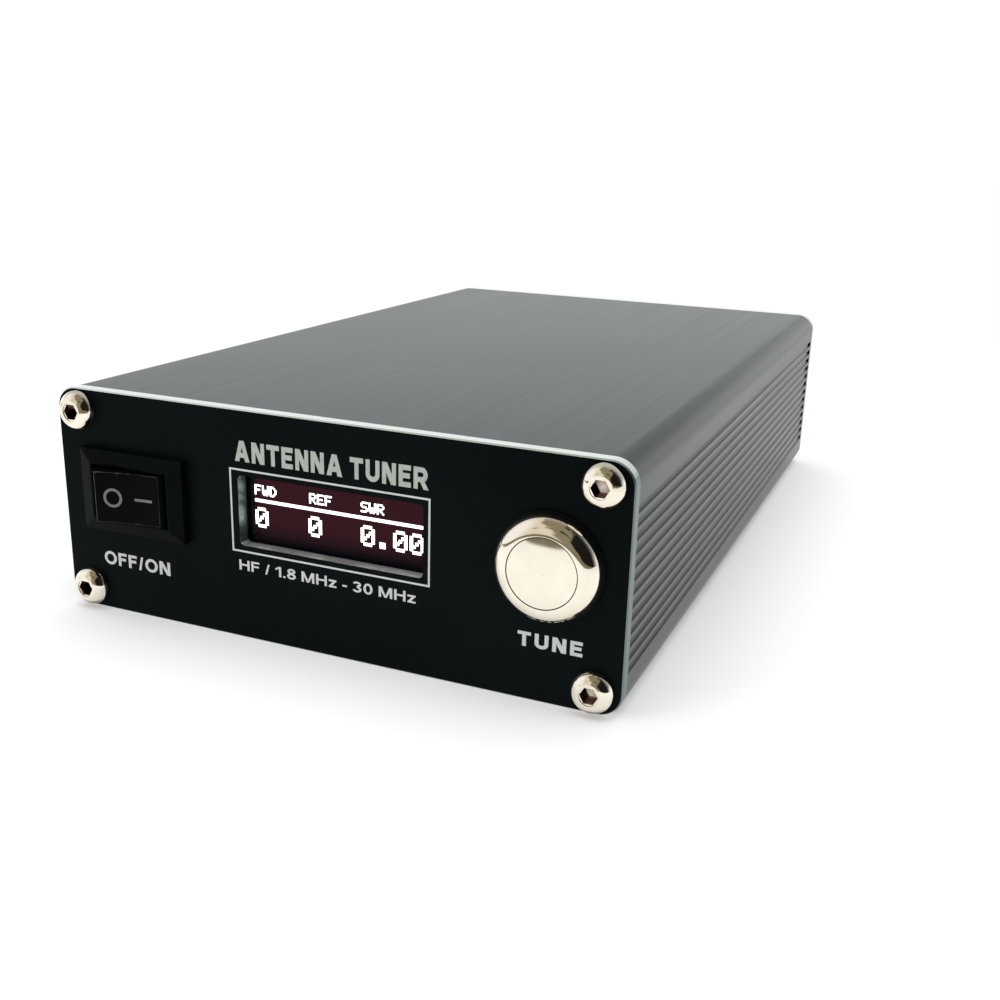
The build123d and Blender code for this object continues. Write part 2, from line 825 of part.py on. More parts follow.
# Wire connectors: switch, battery, button and display.
connector_width, connector_height = 5.8, 6.0
two_way_length, four_way_length = 7.4, 9.9
connector_top = board_top + connector_height
switch_connector = (-34.0, -46.0)
battery_connector = (27.5, -50.0)
button_connector = (36.5, -46.0)
display_connector = (1.8, -59.0)

with BuildPart() as board_connectors:
    with BuildSketch(Plane.XY.offset(board_top)):
        with Locations(switch_connector, battery_connector, button_connector):
            Rectangle(two_way_length, connector_width)
        with Locations(display_connector):
            Rectangle(four_way_length, connector_width)
    extrude(amount=connector_height)
save(board_connectors, "board_connectors")

# ---------------------------------------------------------------- coaxial sockets

flange_side, flange_thickness, flange_corner = 25.4, 1.8, 1.0
shell_bore_radius = 6.3
rear_boss_radius, rear_boss_length = 7.6, 3.0
insulator_front, insulator_back = 3.8, -4.0
contact_radius, contact_bore_radius = 2.9, 2.0
contact_front, contact_back = 2.3, -11.5
contact_bore_length = 11.0
solder_cup_radius = 2.0
cup_shoulder = 2.0

flange_rear = rear_face + flange_thickness
barrel_end = flange_rear + socket_barrel_length


def socket_shell(x):
    """Square flange, threaded barrel and rear boss of a panel socket."""
    with BuildPart() as shell:
        with BuildSketch(upright(rear_face)):
            with Locations((x, socket_z)):
                RectangleRounded(flange_side, flange_side, flange_corner)
                with GridLocations(2 * socket_screw_offset, 2 * socket_screw_offset, 2, 2):
                    Circle(screw_hole_radius, mode=Mode.SUBTRACT)
        extrude(amount=-flange_thickness)
        with BuildSketch(upright(flange_rear)):
            with Locations((x, socket_z)):
                Circle(socket_thread_radius)
        extrude(amount=-socket_barrel_length)
        with BuildSketch(upright(rear_face - rear_boss_length)):
            with Locations((x, socket_z)):
                Circle(rear_boss_radius)
        extrude(amount=-rear_boss_length)
        with BuildSketch(upright(rear_face - rear_boss_length)):
            with Locations((x, socket_z)):
                Circle(shell_bore_radius)
        extrude(amount=-(barrel_end - rear_face + rear_boss_length), mode=Mode.SUBTRACT)
    return shell


def socket_insulator(x):
    """Moulded ring that centres the contact in the shell."""
    start = rear_face + insulator_back
    with BuildPart() as insulator:
        with BuildSketch(upright(start)):
            with Locations((x, socket_z)):
                Circle(shell_bore_radius)
                Circle(contact_radius, mode=Mode.SUBTRACT)
        extrude(amount=-(barrel_end - insulator_front - start))
    return insulator


def socket_contact(x):
    """Hollow centre contact with a solder cup behind it."""
    mouth = barrel_end - contact_front
    start = rear_face + insulator_back - cup_shoulder
    with BuildPart() as contact:
        with BuildSketch(upright(start)):
            with Locations((x, socket_z)):
                Circle(contact_radius)
        extrude(amount=-(mouth - start))
        with BuildSketch(upright(rear_face + contact_back)):
            with Locations((x, socket_z)):
                Circle(solder_cup_radius)
        extrude(amount=-(start - rear_face - contact_back))
        with BuildSketch(upright(mouth - contact_bore_length)):
            with Locations((x, socket_z)):
                Circle(contact_bore_radius)
        extrude(amount=-contact_bore_length, mode=Mode.SUBTRACT)
    return contact


for socket_name, x in (("antenna_socket", -socket_x), ("radio_socket", socket_x)):
    save(socket_shell(x), socket_name + "_shell")
    save(socket_insulator(x), socket_name + "_insulator")
    save(socket_contact(x), socket_name + "_contact")

with BuildPart() as socket_screws:
    with Locations(*[Location((x, flange_rear, z), (0, 0, 180)) for x, z in socket_screw_points]):
        add(button_head_screw.part)
save(socket_screws, "socket_screws")

small_nut_flats, small_nut_thickness = 5.5, 2.4
with BuildPart() as socket_nuts:
    with BuildSketch(upright(sleeve_rear - small_nut_thickness)):
        with Locations(*socket_screw_points):
            RegularPolygon(small_nut_flats / 2, 6, major_radius=False)
            Circle(screw_thread_radius, mode=Mode.SUBTRACT)
    extrude(amount=-small_nut_thickness)
save(socket_nuts, "socket_nuts")

# ---------------------------------------------------------------- charging socket and lamp

charger_width, charger_length, charger_thickness = 17.0, 28.0, 1.0
charger_gap = 0.3
usb_width, usb_height, usb_wall, usb_length = 8.94, 3.26, 0.3, 7.3
usb_floor = 1.2
usb_end_flat = 0.03
usb_tongue_width, usb_tongue_thickness, usb_tongue_inset = 6.7, 0.7, 0.7
charger_top = usb_z - usb_height / 2
charger_back = sleeve_rear - charger_gap

with BuildPart() as charger_board:
    with BuildSketch(Plane.XY.offset(charger_top - charger_thickness)):
        with Locations((0, charger_back - charger_length / 2)):
            Rectangle(charger_width, charger_length)
    extrude(amount=charger_thickness)
save(charger_board, "charger_board")

with BuildPart() as usb_socket_shell:
    with BuildSketch(upright(rear_face - usb_length)):
        with Locations((0, usb_z)):
            RectangleRounded(usb_width, usb_height, usb_height / 2 - usb_end_flat)
    extrude(amount=-usb_length)
    with BuildSketch(upright(rear_face - usb_length + usb_floor)):
        with Locations((0, usb_z)):
            inside_height = usb_height - 2 * usb_wall
            RectangleRounded(usb_width - 2 * usb_wall, inside_height, inside_height / 2 - usb_end_flat)
    extrude(amount=-usb_length, mode=Mode.SUBTRACT)
save(usb_socket_shell, "usb_socket_shell")

with BuildPart() as usb_socket_tongue:
    with BuildSketch(upright(rear_face - usb_length + usb_floor)):
        with Locations((0, usb_z)):
            Rectangle(usb_tongue_width, usb_tongue_thickness)
    extrude(amount=-(usb_length - usb_floor - usb_tongue_inset))
save(usb_socket_tongue, "usb_socket_tongue")

lamp_radius, lamp_flange_radius = 1.5, 1.95
lamp_flange_depth, lamp_length, lamp_nose_radius = 1.0, 3.2, 1.1
with BuildPart() as charge_lamp:
    with BuildSketch(upright(sleeve_rear - lamp_flange_depth)):
        with Locations((0, lamp_z)):
            Circle(lamp_flange_radius)
    extrude(amount=-lamp_flange_depth)
    with BuildSketch(upright(sleeve_rear)):
        with Locations((0, lamp_z)):
            Circle(lamp_radius)
    extrude(amount=-lamp_length)
    lamp_nose = charge_lamp.edges().sort_by(Axis.Y)[-1]
    fillet(lamp_nose, radius=lamp_nose_radius)
save(charge_lamp, "charge_lamp")

# ---------------------------------------------------------------- battery

battery_width, battery_length, battery_thickness = 50.0, 65.0, 5.4
battery_y = -15.0
battery_gap, battery_corner, battery_edge = 0.1, 1.5, 0.8
with BuildPart() as battery:
    with BuildSketch(Plane.XY.offset(flat_wall + battery_gap)):
        with Locations((0, battery_y)):
            RectangleRounded(battery_width, battery_length, battery_corner)
    extrude(amount=battery_thickness)
    fillet(battery.edges().filter_by(Axis.Z, reverse=True), radius=battery_edge)
save(battery, "battery")

# ---------------------------------------------------------------- internal leads


def leads(routes, radius, bend):
    """Insulated leads, each a round section swept along straight runs and arcs."""
    with BuildPart() as wires:
        for route in routes:
            with BuildLine() as path:
                FilletPolyline(*route, radius=bend)
            with BuildSketch(Plane(origin=path.line @ 0, z_dir=path.line % 0)):
                Circle(radius)
            sweep()
    return wires


lead_gap = 0.25
switch_lead_radius, switch_lead_bend = 0.75, 2.0
button_lead_radius, button_lead_bend = 0.6, 1.8
display_lead_radius, display_lead_bend = 0.5, 2.0
battery_lead_radius, battery_lead_bend = 0.6, 1.6
rf_lead_radius, rf_lead_bend = 0.8, 1.2

switch_start = blade_end + lead_gap
switch_plugs = (-33.0, -35.6)
switch_routes = [
    [
        (blade_x, switch_start, switch_z),
        (plug_x, switch_connector[1], switch_z),
        (plug_x, switch_connector[1], connector_top),
    ]
    for blade_x, plug_x in zip((switch_x, switch_x - contact_offset), switch_plugs)
]
save(leads(switch_routes, switch_lead_radius, switch_lead_bend), "switch_wires")

button_start = seal_front + base_back + pin_tail + lead_gap
button_plugs = (35.2, 37.8)
button_routes = [
    [
        (pin_x, button_start, button_z),
        (plug_x, button_connector[1], button_z),
        (plug_x, button_connector[1], connector_top),
    ]
    for pin_x, plug_x in zip((button_x - pin_offset, button_x + pin_offset), button_plugs)
]
save(leads(button_routes, button_lead_radius, button_lead_bend), "button_wires")

display_start = display_board_back + header_depth + header_tail + lead_gap
plug_pitch = 2.0
display_routes = []
for number in range(header_pins):
    step = number - (header_pins - 1) / 2
    plug_x, plug_y = display_connector[0] + step * plug_pitch, display_connector[1]
    start = (window_x + step * header_pitch, display_start, header_z)
    display_routes.append([start, (plug_x, plug_y, header_z), (plug_x, plug_y, connector_top)])
save(leads(display_routes, display_lead_radius, display_lead_bend), "display_wires")

# The battery leads leave the cell under the board and come up between its front
# edge and the display.
under_board_z = 4.6
edge_y = -70.0
edge_run = 11.0
rise_z, arch_z = 19.5, 21.0
battery_tabs = (20.5, 23.0)
edge_crossings = (24.2, 26.6)
battery_plugs = (26.3, 28.7)
battery_start = battery_y - battery_length / 2 - lead_gap
battery_routes = [
    [
        (tab_x, battery_start, under_board_z),
        (edge_x, edge_y + edge_run, under_board_z),
        (edge_x, edge_y, under_board_z),
        (edge_x, edge_y, rise_z),
        (plug_x, battery_connector[1], arch_z),
        (plug_x, battery_connector[1], connector_top),
    ]
    for tab_x, edge_x, plug_x in zip(battery_tabs, edge_crossings, battery_plugs)
]
save(leads(battery_routes, battery_lead_radius, battery_lead_bend), "battery_wires")

lead_y = 63.0
cup_start = rear_face + contact_back - lead_gap
rf_routes = [
    [(x, cup_start, socket_z), (x, lead_y, socket_z), (x, lead_y, board_top)]
    for x in (-socket_x, socket_x)
]
save(leads(rf_routes, rf_lead_radius, rf_lead_bend), "rf_leads")
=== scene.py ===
import json
import math

import bpy
import bmesh
from mathutils import Matrix, Vector


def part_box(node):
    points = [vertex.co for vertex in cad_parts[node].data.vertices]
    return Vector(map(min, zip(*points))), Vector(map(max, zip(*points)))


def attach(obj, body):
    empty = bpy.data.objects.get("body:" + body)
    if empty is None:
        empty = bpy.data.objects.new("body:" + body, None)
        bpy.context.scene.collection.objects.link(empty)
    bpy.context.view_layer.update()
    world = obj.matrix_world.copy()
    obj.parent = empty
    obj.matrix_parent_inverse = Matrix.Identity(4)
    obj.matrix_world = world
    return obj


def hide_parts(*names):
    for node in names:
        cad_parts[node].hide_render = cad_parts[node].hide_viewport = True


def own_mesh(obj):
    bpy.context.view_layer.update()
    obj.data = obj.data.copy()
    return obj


# Looks of an automatic antenna tuner: a ribbed black case with a printed front panel.
# Blender units are metres. The front panel faces -Y and +X is to the right from there.

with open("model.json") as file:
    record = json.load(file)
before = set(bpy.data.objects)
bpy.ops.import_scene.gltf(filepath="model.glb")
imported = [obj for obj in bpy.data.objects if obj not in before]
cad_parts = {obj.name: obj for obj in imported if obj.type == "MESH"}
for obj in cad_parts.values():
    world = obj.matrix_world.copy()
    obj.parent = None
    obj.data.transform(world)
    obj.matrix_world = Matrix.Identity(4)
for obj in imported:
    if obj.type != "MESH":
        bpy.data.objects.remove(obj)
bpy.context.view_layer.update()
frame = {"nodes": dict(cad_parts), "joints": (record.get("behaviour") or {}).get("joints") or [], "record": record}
nodes = frame["nodes"]

MM = 0.001

# ---------------------------------------------------------------- places from the frame

front_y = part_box("front_panel")[0].y
rear_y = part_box("rear_panel")[1].y
glass_front_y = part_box("display_glass")[0].y

# ---------------------------------------------------------------- mesh helpers

sharp_angle = math.radians(35)


def piece(name, mesh, finish, body="case", smooth=False):
    """Make an object from a mesh in the part's frame, and ride it on a body."""
    made = bpy.data.objects.new(name, mesh)
    bpy.context.scene.collection.objects.link(made)
    mesh.materials.clear()
    mesh.materials.append(finish)
    if smooth:
        mesh.shade_smooth()
        mesh.set_sharp_from_angle(angle=sharp_angle)
    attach(made, body)
    return made


def mesh_from(name, build):
    """Run build on an empty bmesh and return it as a mesh with outward faces."""
    work = bmesh.new()
    build(work)
    bmesh.ops.recalc_face_normals(work, faces=work.faces)
    mesh = bpy.data.meshes.new(name)
    work.to_mesh(mesh)
    work.free()
    return mesh


def add_box(work, low, high):
    """Add a closed box between two corners."""
    xs, ys, zs = (low[0], high[0]), (low[1], high[1]), (low[2], high[2])
    corners = [[[work.verts.new((x, y, z)) for z in zs] for y in ys] for x in xs]
    for a, b, c, d in (
        ((0, 0, 0), (1, 0, 0), (1, 0, 1), (0, 0, 1)),
        ((0, 1, 0), (0, 1, 1), (1, 1, 1), (1, 1, 0)),
        ((0, 0, 0), (0, 0, 1), (0, 1, 1), (0, 1, 0)),
        ((1, 0, 0), (1, 1, 0), (1, 1, 1), (1, 0, 1)),
        ((0, 0, 0), (0, 1, 0), (1, 1, 0), (1, 0, 0)),
        ((0, 0, 1), (1, 0, 1), (1, 1, 1), (0, 1, 1)),
    ):
        work.faces.new([corners[i][j][k] for i, j, k in (a, b, c, d)])


def add_loops(work, loops, closed=False):
    """Join rings of points into a skin; closed joins the last ring to the first."""
    rings = [[work.verts.new(point) for point in loop] for loop in loops]
    pairs = list(zip(rings, rings[1:]))
    if closed:
        pairs.append((rings[-1], rings[0]))
    for one, two in pairs:
        for i in range(len(one)):
            j = (i + 1) % len(one)
            work.faces.new((one[i], one[j], two[j], two[i]))
    return rings


def rounded_outline(width, height, radius, steps):
    """Points round a rectangle with round corners, about its centre, in steps per corner."""
    points = []
    for turn, (sx, sz) in enumerate(((1, 1), (-1, 1), (-1, -1), (1, -1))):
        for step in range(steps + 1):
            angle = math.radians(90) * (turn + step / steps)
            x = sx * (width / 2 - radius) + radius * math.cos(angle)
            z = sz * (height / 2 - radius) + radius * math.sin(angle)
            points.append((x, z))
    return points


# ---------------------------------------------------------------- material helpers


def new_finish(name, color, roughness, metallic=0.0, specular=0.5):
    """A material whose even values are set on the shader itself."""
    finish = bpy.data.materials.new(name)
    finish.use_nodes = True
    shader = finish.node_tree.nodes["Principled BSDF"]
    shader.inputs["Base Color"].default_value = (*color, 1.0)
    shader.inputs["Roughness"].default_value = roughness
    shader.inputs["Metallic"].default_value = metallic
    shader.inputs["Specular IOR Level"].default_value = specular
    return finish


def shader_input(finish, name):
    """One of the shader's own sockets."""
    return finish.node_tree.nodes["Principled BSDF"].inputs[name]


def feed(tree, value, socket):
    """Link an output to a socket, or set the socket to a number or a colour."""
    if isinstance(value, bpy.types.NodeSocket):
        tree.links.new(value, socket)
    elif isinstance(value, tuple):
        socket.default_value = (*value, 1.0)
    else:
        socket.default_value = value


def combined(tree, operation, *values):
    """Arithmetic on numbers and outputs."""
    node = tree.nodes.new("ShaderNodeMath")
    node.operation = operation
    for value, socket in zip(values, node.inputs):
        feed(tree, value, socket)
    return node.outputs["Value"]


def mixed(tree, factor, low, high):
    """Mix two colours or colour outputs."""
    node = tree.nodes.new("ShaderNodeMix")
    node.data_type = "RGBA"
    for value, name in ((factor, "Factor"), (low, "A"), (high, "B")):
        feed(tree, value, node.inputs[name])
    return node.outputs["Result"]


def mixed_shaders(tree, factor, low, high):
    """Mix two shader outputs."""
    node = tree.nodes.new("ShaderNodeMixShader")
    for value, socket in zip((factor, low, high), node.inputs):
        tree.links.new(value, socket)
    return node.outputs["Shader"]


def smooth_range(tree, value, start, end):
    """0 to 1, with soft ends, as a value goes from start to end."""
    node = tree.nodes.new("ShaderNodeMapRange")
    node.interpolation_type = "SMOOTHSTEP"
    node.inputs["From Min"].default_value = start
    node.inputs["From Max"].default_value = end
    tree.links.new(value, node.inputs["Value"])
    return node.outputs["Result"]


def split_axes(tree, vector):
    """The X, Y and Z outputs of a vector."""
    split = tree.nodes.new("ShaderNodeSeparateXYZ")
    tree.links.new(vector, split.inputs["Vector"])
    return split.outputs


def grain(finish, scale, stretch=(1, 1, 1), detail=3.0):
    """Noise over the object, scale in features per metre; a low stretch draws it out."""
    tree = finish.node_tree
    place = tree.nodes.new("ShaderNodeTexCoord")
    mapping = tree.nodes.new("ShaderNodeMapping")
    mapping.inputs["Scale"].default_value = [scale * part for part in stretch]
    noise = tree.nodes.new("ShaderNodeTexNoise")
    noise.inputs["Scale"].default_value = 1.0
    noise.inputs["Detail"].default_value = detail
    tree.links.new(place.outputs["Object"], mapping.inputs["Vector"])
    tree.links.new(mapping.outputs["Vector"], noise.inputs["Vector"])
    return noise.outputs["Fac"]


def ranged(finish, factor, low, high, start=0.3, end=0.7):
    """Spread a factor between two numbers."""
    node = finish.node_tree.nodes.new("ShaderNodeMapRange")
    node.inputs["From Min"].default_value = start
    node.inputs["From Max"].default_value = end
    node.inputs["To Min"].default_value = low
    node.inputs["To Max"].default_value = high
    finish.node_tree.links.new(factor, node.inputs["Value"])
    return node.outputs["Result"]


def tinted(finish, factor, low, high, start=0.3, end=0.7):
    """Spread a factor between two colours."""
    node = finish.node_tree.nodes.new("ShaderNodeValToRGB")
    node.color_ramp.elements[0].position = start
    node.color_ramp.elements[0].color = (*low, 1.0)
    node.color_ramp.elements[1].position = end
    node.color_ramp.elements[1].color = (*high, 1.0)
    finish.node_tree.links.new(factor, node.inputs["Fac"])
    return node.outputs["Color"]


def drive(finish, name, output):
    """Feed an output into one of the shader's own sockets."""
    finish.node_tree.links.new(output, shader_input(finish, name))


def relief(finish, height, depth):
    """Raise the surface by height times depth, in metres, on top of earlier relief."""
    tree = finish.node_tree
    bump = tree.nodes.new("ShaderNodeBump")
    bump.inputs["Distance"].default_value = depth
    normal = shader_input(finish, "Normal")
    if normal.is_linked:
        tree.links.new(normal.links[0].from_socket, bump.inputs["Normal"])
    tree.links.new(height, bump.inputs["Height"])
    tree.links.new(bump.outputs["Normal"], normal)


def facing(finish):
    """How far each flat of the surface faces along X, Y and Z, whichever way."""
    tree = finish.node_tree
    geometry = tree.nodes.new("ShaderNodeNewGeometry")
    size = tree.nodes.new("ShaderNodeVectorMath")
    size.operation = "ABSOLUTE"
    tree.links.new(geometry.outputs["True Normal"], size.inputs[0])
    return split_axes(tree, size.outputs["Vector"])


def painted_edge_highlights(finish, start, end, dark, light):
    """Lighten cut-off edges, which face along no one axis, with a painted highlight.

    A surface is left alone once it faces along one axis by more than end.
    """
    tree = finish.node_tree
    axes = facing(finish)
    squareness = combined(tree, "MAXIMUM", combined(tree, "MAXIMUM", axes["X"], axes["Y"]), axes["Z"])
    # Painted highlight: bevelled edges get a paler, patchy base colour.
    edge = ranged(finish, squareness, 1.0, 0.0, start, end)
    base = shader_input(finish, "Base Color").links[0].from_socket
    patchy_highlight = tinted(finish, grain(finish, 1 / (1.5 * MM)), dark, light)
    drive(finish, "Base Color", mixed(tree, edge, base, patchy_highlight))


def moulded(name, dark, light, roughness, grain_size=0.25 * MM, depth=0.006 * MM, specular=0.5):
    """Moulded plastic: a fine spark texture, with slightly uneven colour and gloss."""
    finish = new_finish(name, light, roughness, specular=specular)
    cloud = grain(finish, 1 / (6 * MM), detail=2.0)
    drive(finish, "Base Color", tinted(finish, cloud, dark, light))
    drive(finish, "Roughness", ranged(finish, cloud, roughness - 0.04, roughness + 0.06))
    relief(finish, grain(finish, 1 / grain_size, detail=2.0), depth)
    return finish


def metal(name, dark, light, roughness, grain_size=0.4 * MM, depth=0.002 * MM):
    """Bare metal with faint handling marks."""
    finish = new_finish(name, light, roughness, metallic=1.0)
    cloud = grain(finish, 1 / (3 * MM), detail=4.0)
    drive(finish, "Base Color", tinted(finish, cloud, dark, light))
    drive(finish, "Roughness", ranged(finish, cloud, roughness * 0.75, roughness * 1.35))
    relief(finish, grain(finish, 1 / grain_size), depth)
    return finish


# ---------------------------------------------------------------- materials


def polished_nickel_finish():
    """Bright nickel plate, painted a shaded brown where it is sunk in, as in a screw's socket."""
    finish = metal("polished_nickel", (0.84, 0.77, 0.65), (0.90, 0.84, 0.72), 0.06, depth=0.0006 * MM)
    tree = finish.node_tree
    plate = shader_input(finish, "Base Color").links[0].from_socket
    # Painted shade: ambient occlusion darkens the sunk-in places, such as the screws' sockets, to a brown.
    openness = tree.nodes.new("ShaderNodeAmbientOcclusion")
    openness.inputs["Distance"].default_value = 3 * MM
    openness.samples = 8
    painted_socket_shade = tinted(finish, openness.outputs["AO"], (0.20, 0.13, 0.105), (0.28, 0.19, 0.155))
    unshaded = ranged(finish, openness.outputs["AO"], 0, 1, 0.42, 0.62)
    drive(finish, "Base Color", mixed(tree, unshaded, painted_socket_shade, plate))
    return finish


def anodised_case_finish():
    """Black anodised extrusion: satin, with faint die lines along its length."""
    finish = new_finish("anodised_case", (0.012, 0.015, 0.0155), 0.42, specular=0.42)
    cloud = grain(finish, 1 / (22 * MM))
    lines = grain(finish, 1 / (0.5 * MM), stretch=(1, 0.004, 1), detail=2.0)
    drive(finish, "Base Color", tinted(finish, cloud, (0.008, 0.0105, 0.011), (0.012, 0.0150, 0.0155)))
    drive(finish, "Roughness", ranged(finish, lines, 0.30, 0.335))
    relief(finish, lines, 0.0004 * MM)
    relief(finish, grain(finish, 1 / (0.12 * MM), detail=2.0), 0.0035 * MM)
    return finish


def panel_finish():
    """Matt black coat on the flat faces, uncoated pale metal on the cut edges, painted paler the more they face up
    or down.
    """
    finish = new_finish("panel_black", (0.004, 0.007, 0.007), 0.5, specular=0.04)
    axes = facing(finish)
    cut = ranged(finish, axes["Y"], 1.0, 0.0, 0.90, 0.93)
    cloud = grain(finish, 1 / (30 * MM), detail=2.0)
    speck = grain(finish, 1 / (0.3 * MM), detail=2.0)
    coat = tinted(finish, cloud, (0.0008, 0.0025, 0.0025), (0.0022, 0.0043, 0.0048))
    # Painted highlight: the uncoated metal is painted paler the more it faces up or down, so top rims look lit and
    # side walls look shaded.
    bare_metal_and_painted_light = tinted(finish, axes["Z"], (0.17, 0.215, 0.21), (0.94, 0.98, 0.95), 0.35, 0.95)
    drive(finish, "Base Color", mixed(finish.node_tree, cut, coat, bare_metal_and_painted_light))
    drive(finish, "Metallic", ranged(finish, cut, 0.0, 0.85, 0.0, 1.0))
    drive(finish, "Roughness", ranged(finish, cut, 0.50, 0.36, 0.0, 1.0))
    relief(finish, speck, 0.004 * MM)
    return finish


def switch_finish(name, dark, light, start, end):
    """Deep black plastic, with a painted highlight along its edges."""
    finish = moulded(name, dark, light, 0.32, specular=0.03)
    # The two colours here are the painted edge highlight.
    painted_edge_highlights(finish, start, end, (0.03, 0.034, 0.036), (0.11, 0.12, 0.125))
    return finish


def seal_finish():
    """Dull black rubber."""
    return moulded("seal_rubber", (0.001, 0.0015, 0.0015), (0.002, 0.0026, 0.0026), 0.6, specular=0.08)


def display_glass_finish():
    """Black-backed cover glass."""
    finish = new_finish("display_glass", (0.0015, 0.0015, 0.002), 0.06, specular=0.4)
    smudge = grain(finish, 1 / (9 * MM), detail=4.0)
    drive(finish, "Roughness", ranged(finish, smudge, 0.04, 0.10))
    shades = ((0.0012, 0.0012, 0.0016), (0.002, 0.002, 0.0026))
    drive(finish, "Base Color", tinted(finish, smudge, *shades))
    return finish


def board_finish(name, dark, light):
    """Lacquered circuit board with faint tracks under the lacquer."""
    finish = new_finish(name, light, 0.32)
    tree = finish.node_tree
    place = tree.nodes.new("ShaderNodeTexCoord")
    tracks = tree.nodes.new("ShaderNodeTexBrick")
    tracks.offset = 0.35
    tracks.squash = 0.6
    tracks.inputs["Scale"].default_value = 1 / (9 * MM)
    tracks.inputs["Mortar Size"].default_value = 0.035
    tracks.inputs["Color1"].default_value = (*dark, 1.0)
    tracks.inputs["Color2"].default_value = (*dark, 1.0)
    tracks.inputs["Mortar"].default_value = (*light, 1.0)
    tree.links.new(place.outputs["Object"], tracks.inputs["Vector"])
    drive(finish, "Base Color", tracks.outputs["Color"])
    relief(finish, tracks.outputs["Fac"], 0.03 * MM)
    return finish


def winding_finish():
    """Enamelled copper wire laid side by side."""
    finish = new_finish("enamelled_copper", (0.55, 0.20, 0.06), 0.22, metallic=0.9)
    cloud = grain(finish, 1 / (2 * MM))
    drive(finish, "Base Color", tinted(finish, cloud, (0.42, 0.14, 0.04), (0.66, 0.27, 0.09)))
    relief(finish, grain(finish, 1 / (0.4 * MM), detail=1.0), 0.01 * MM)
    return finish


def lamp_finish():
    """Clear-tinted lamp lens."""
    finish = new_finish("lamp_lens", (0.75, 0.78, 0.76), 0.08)
    shader_input(finish, "Transmission Weight").default_value = 0.6
    haze = grain(finish, 1 / (1.2 * MM), detail=2.0)
    drive(finish, "Base Color", tinted(finish, haze, (0.66, 0.69, 0.67), (0.82, 0.85, 0.83)))
    return finish


def ink_finish(name, color, wear):
    """Screen-printed ink, darker by the part wear where it is thin."""
    finish = new_finish(name, color, 0.55, specular=0.3)
    cloud = grain(finish, 1 / (0.8 * MM), detail=4.0)
    worn = tuple(part * (1 - wear) for part in color)
    drive(finish, "Base Color", tinted(finish, cloud, worn, color))
    relief(finish, grain(finish, 1 / (0.15 * MM), detail=2.0), 0.004 * MM)
    return finish


# Dark shade, light shade and roughness, then grain size and depth where they aren't the usual.
plastics = {
    "button_base_plastic": ((0.03, 0.03, 0.03), (0.05, 0.05, 0.05), 0.45),
    "gasket_foam": ((0.010, 0.010, 0.010), (0.020, 0.020, 0.020), 0.85, 0.5 * MM, 0.08 * MM),
    "header_plastic": ((0.010, 0.010, 0.010), (0.018, 0.018, 0.018), 0.4),
    "relay_case": ((0.012, 0.012, 0.013), (0.020, 0.020, 0.022), 0.35),
    "powdered_iron": ((0.42, 0.03, 0.02), (0.55, 0.05, 0.03), 0.5, 0.3 * MM, 0.02 * MM),
    "ferrite": ((0.03, 0.03, 0.032), (0.055, 0.055, 0.058), 0.55, 0.3 * MM, 0.02 * MM),
    "ceramic_chip": ((0.42, 0.30, 0.18), (0.55, 0.42, 0.27), 0.5),
    "chip_plastic": ((0.012, 0.012, 0.012), (0.022, 0.022, 0.022), 0.55),
    "connector_plastic": ((0.72, 0.70, 0.64), (0.82, 0.80, 0.74), 0.42),
    "socket_insulator": ((0.62, 0.60, 0.54), (0.74, 0.72, 0.66), 0.35),
    "usb_tongue": ((0.010, 0.010, 0.010), (0.018, 0.018, 0.018), 0.4),
    "lead_insulation": ((0.28, 0.012, 0.010), (0.40, 0.022, 0.016), 0.4),
}
metals = {
    "contact_brass": ((0.62, 0.46, 0.20), (0.80, 0.62, 0.30), 0.28),
    "spring_steel": ((0.45, 0.45, 0.46), (0.62, 0.62, 0.62), 0.25),
    "capacitor_can": ((0.60, 0.60, 0.61), (0.74, 0.74, 0.75), 0.3),
    "socket_nickel": ((0.66, 0.64, 0.60), (0.78, 0.76, 0.71), 0.2),
    "socket_contact": ((0.78, 0.60, 0.26), (0.90, 0.72, 0.36), 0.2),
    "usb_steel": ((0.60, 0.60, 0.60), (0.74, 0.74, 0.74), 0.25),
    "battery_wrap": ((0.55, 0.56, 0.58), (0.72, 0.73, 0.75), 0.35, 1.2 * MM, 0.05 * MM),
}

# Dark shade, light shade, and the squareness at which the painted edge highlight starts and ends.
switch_plastics = {
    "switch_plastic": ((0.0010, 0.0020, 0.0022), (0.0020, 0.0034, 0.0038), 0.82, 0.88),
    "rocker_plastic": ((0.0006, 0.0012, 0.0015), (0.0012, 0.0020, 0.0024), 0.74, 0.80),
}

# Lacquer and track colours.
boards = {
    "display_board": ((0.006, 0.02, 0.07), (0.012, 0.04, 0.13)),
    "circuit_board": ((0.004, 0.055, 0.022), (0.012, 0.11, 0.045)),
}

finishes = {
    "anodised_case": anodised_case_finish(),
    "panel_black": panel_finish(),
    "polished_nickel": polished_nickel_finish(),
    "display_glass": display_glass_finish(),
    "enamelled_copper": winding_finish(),
    "lamp_lens": lamp_finish(),
    "seal_rubber": seal_finish(),
}
for make, looks in (
    (moulded, plastics),
    (metal, metals),
    (switch_finish, switch_plastics),
    (board_finish, boards),
):
    for slot_name, look in looks.items():
        finishes[slot_name] = make(slot_name, *look)

for subpart in frame["record"]["subparts"]:
    node = nodes[subpart["node"]]
    for holder in node.material_slots:
        holder.material = finishes[subpart["material_slot"]]

white_ink = ink_finish("white_ink", (0.58, 0.60, 0.58), wear=0.10)
grey_ink = ink_finish("grey_ink", (0.42, 0.46, 0.41), wear=0.16)
mark_ink = ink_finish("mark_ink", (0.16, 0.16, 0.165), wear=0.2)

# ---------------------------------------------------------------- softened edges


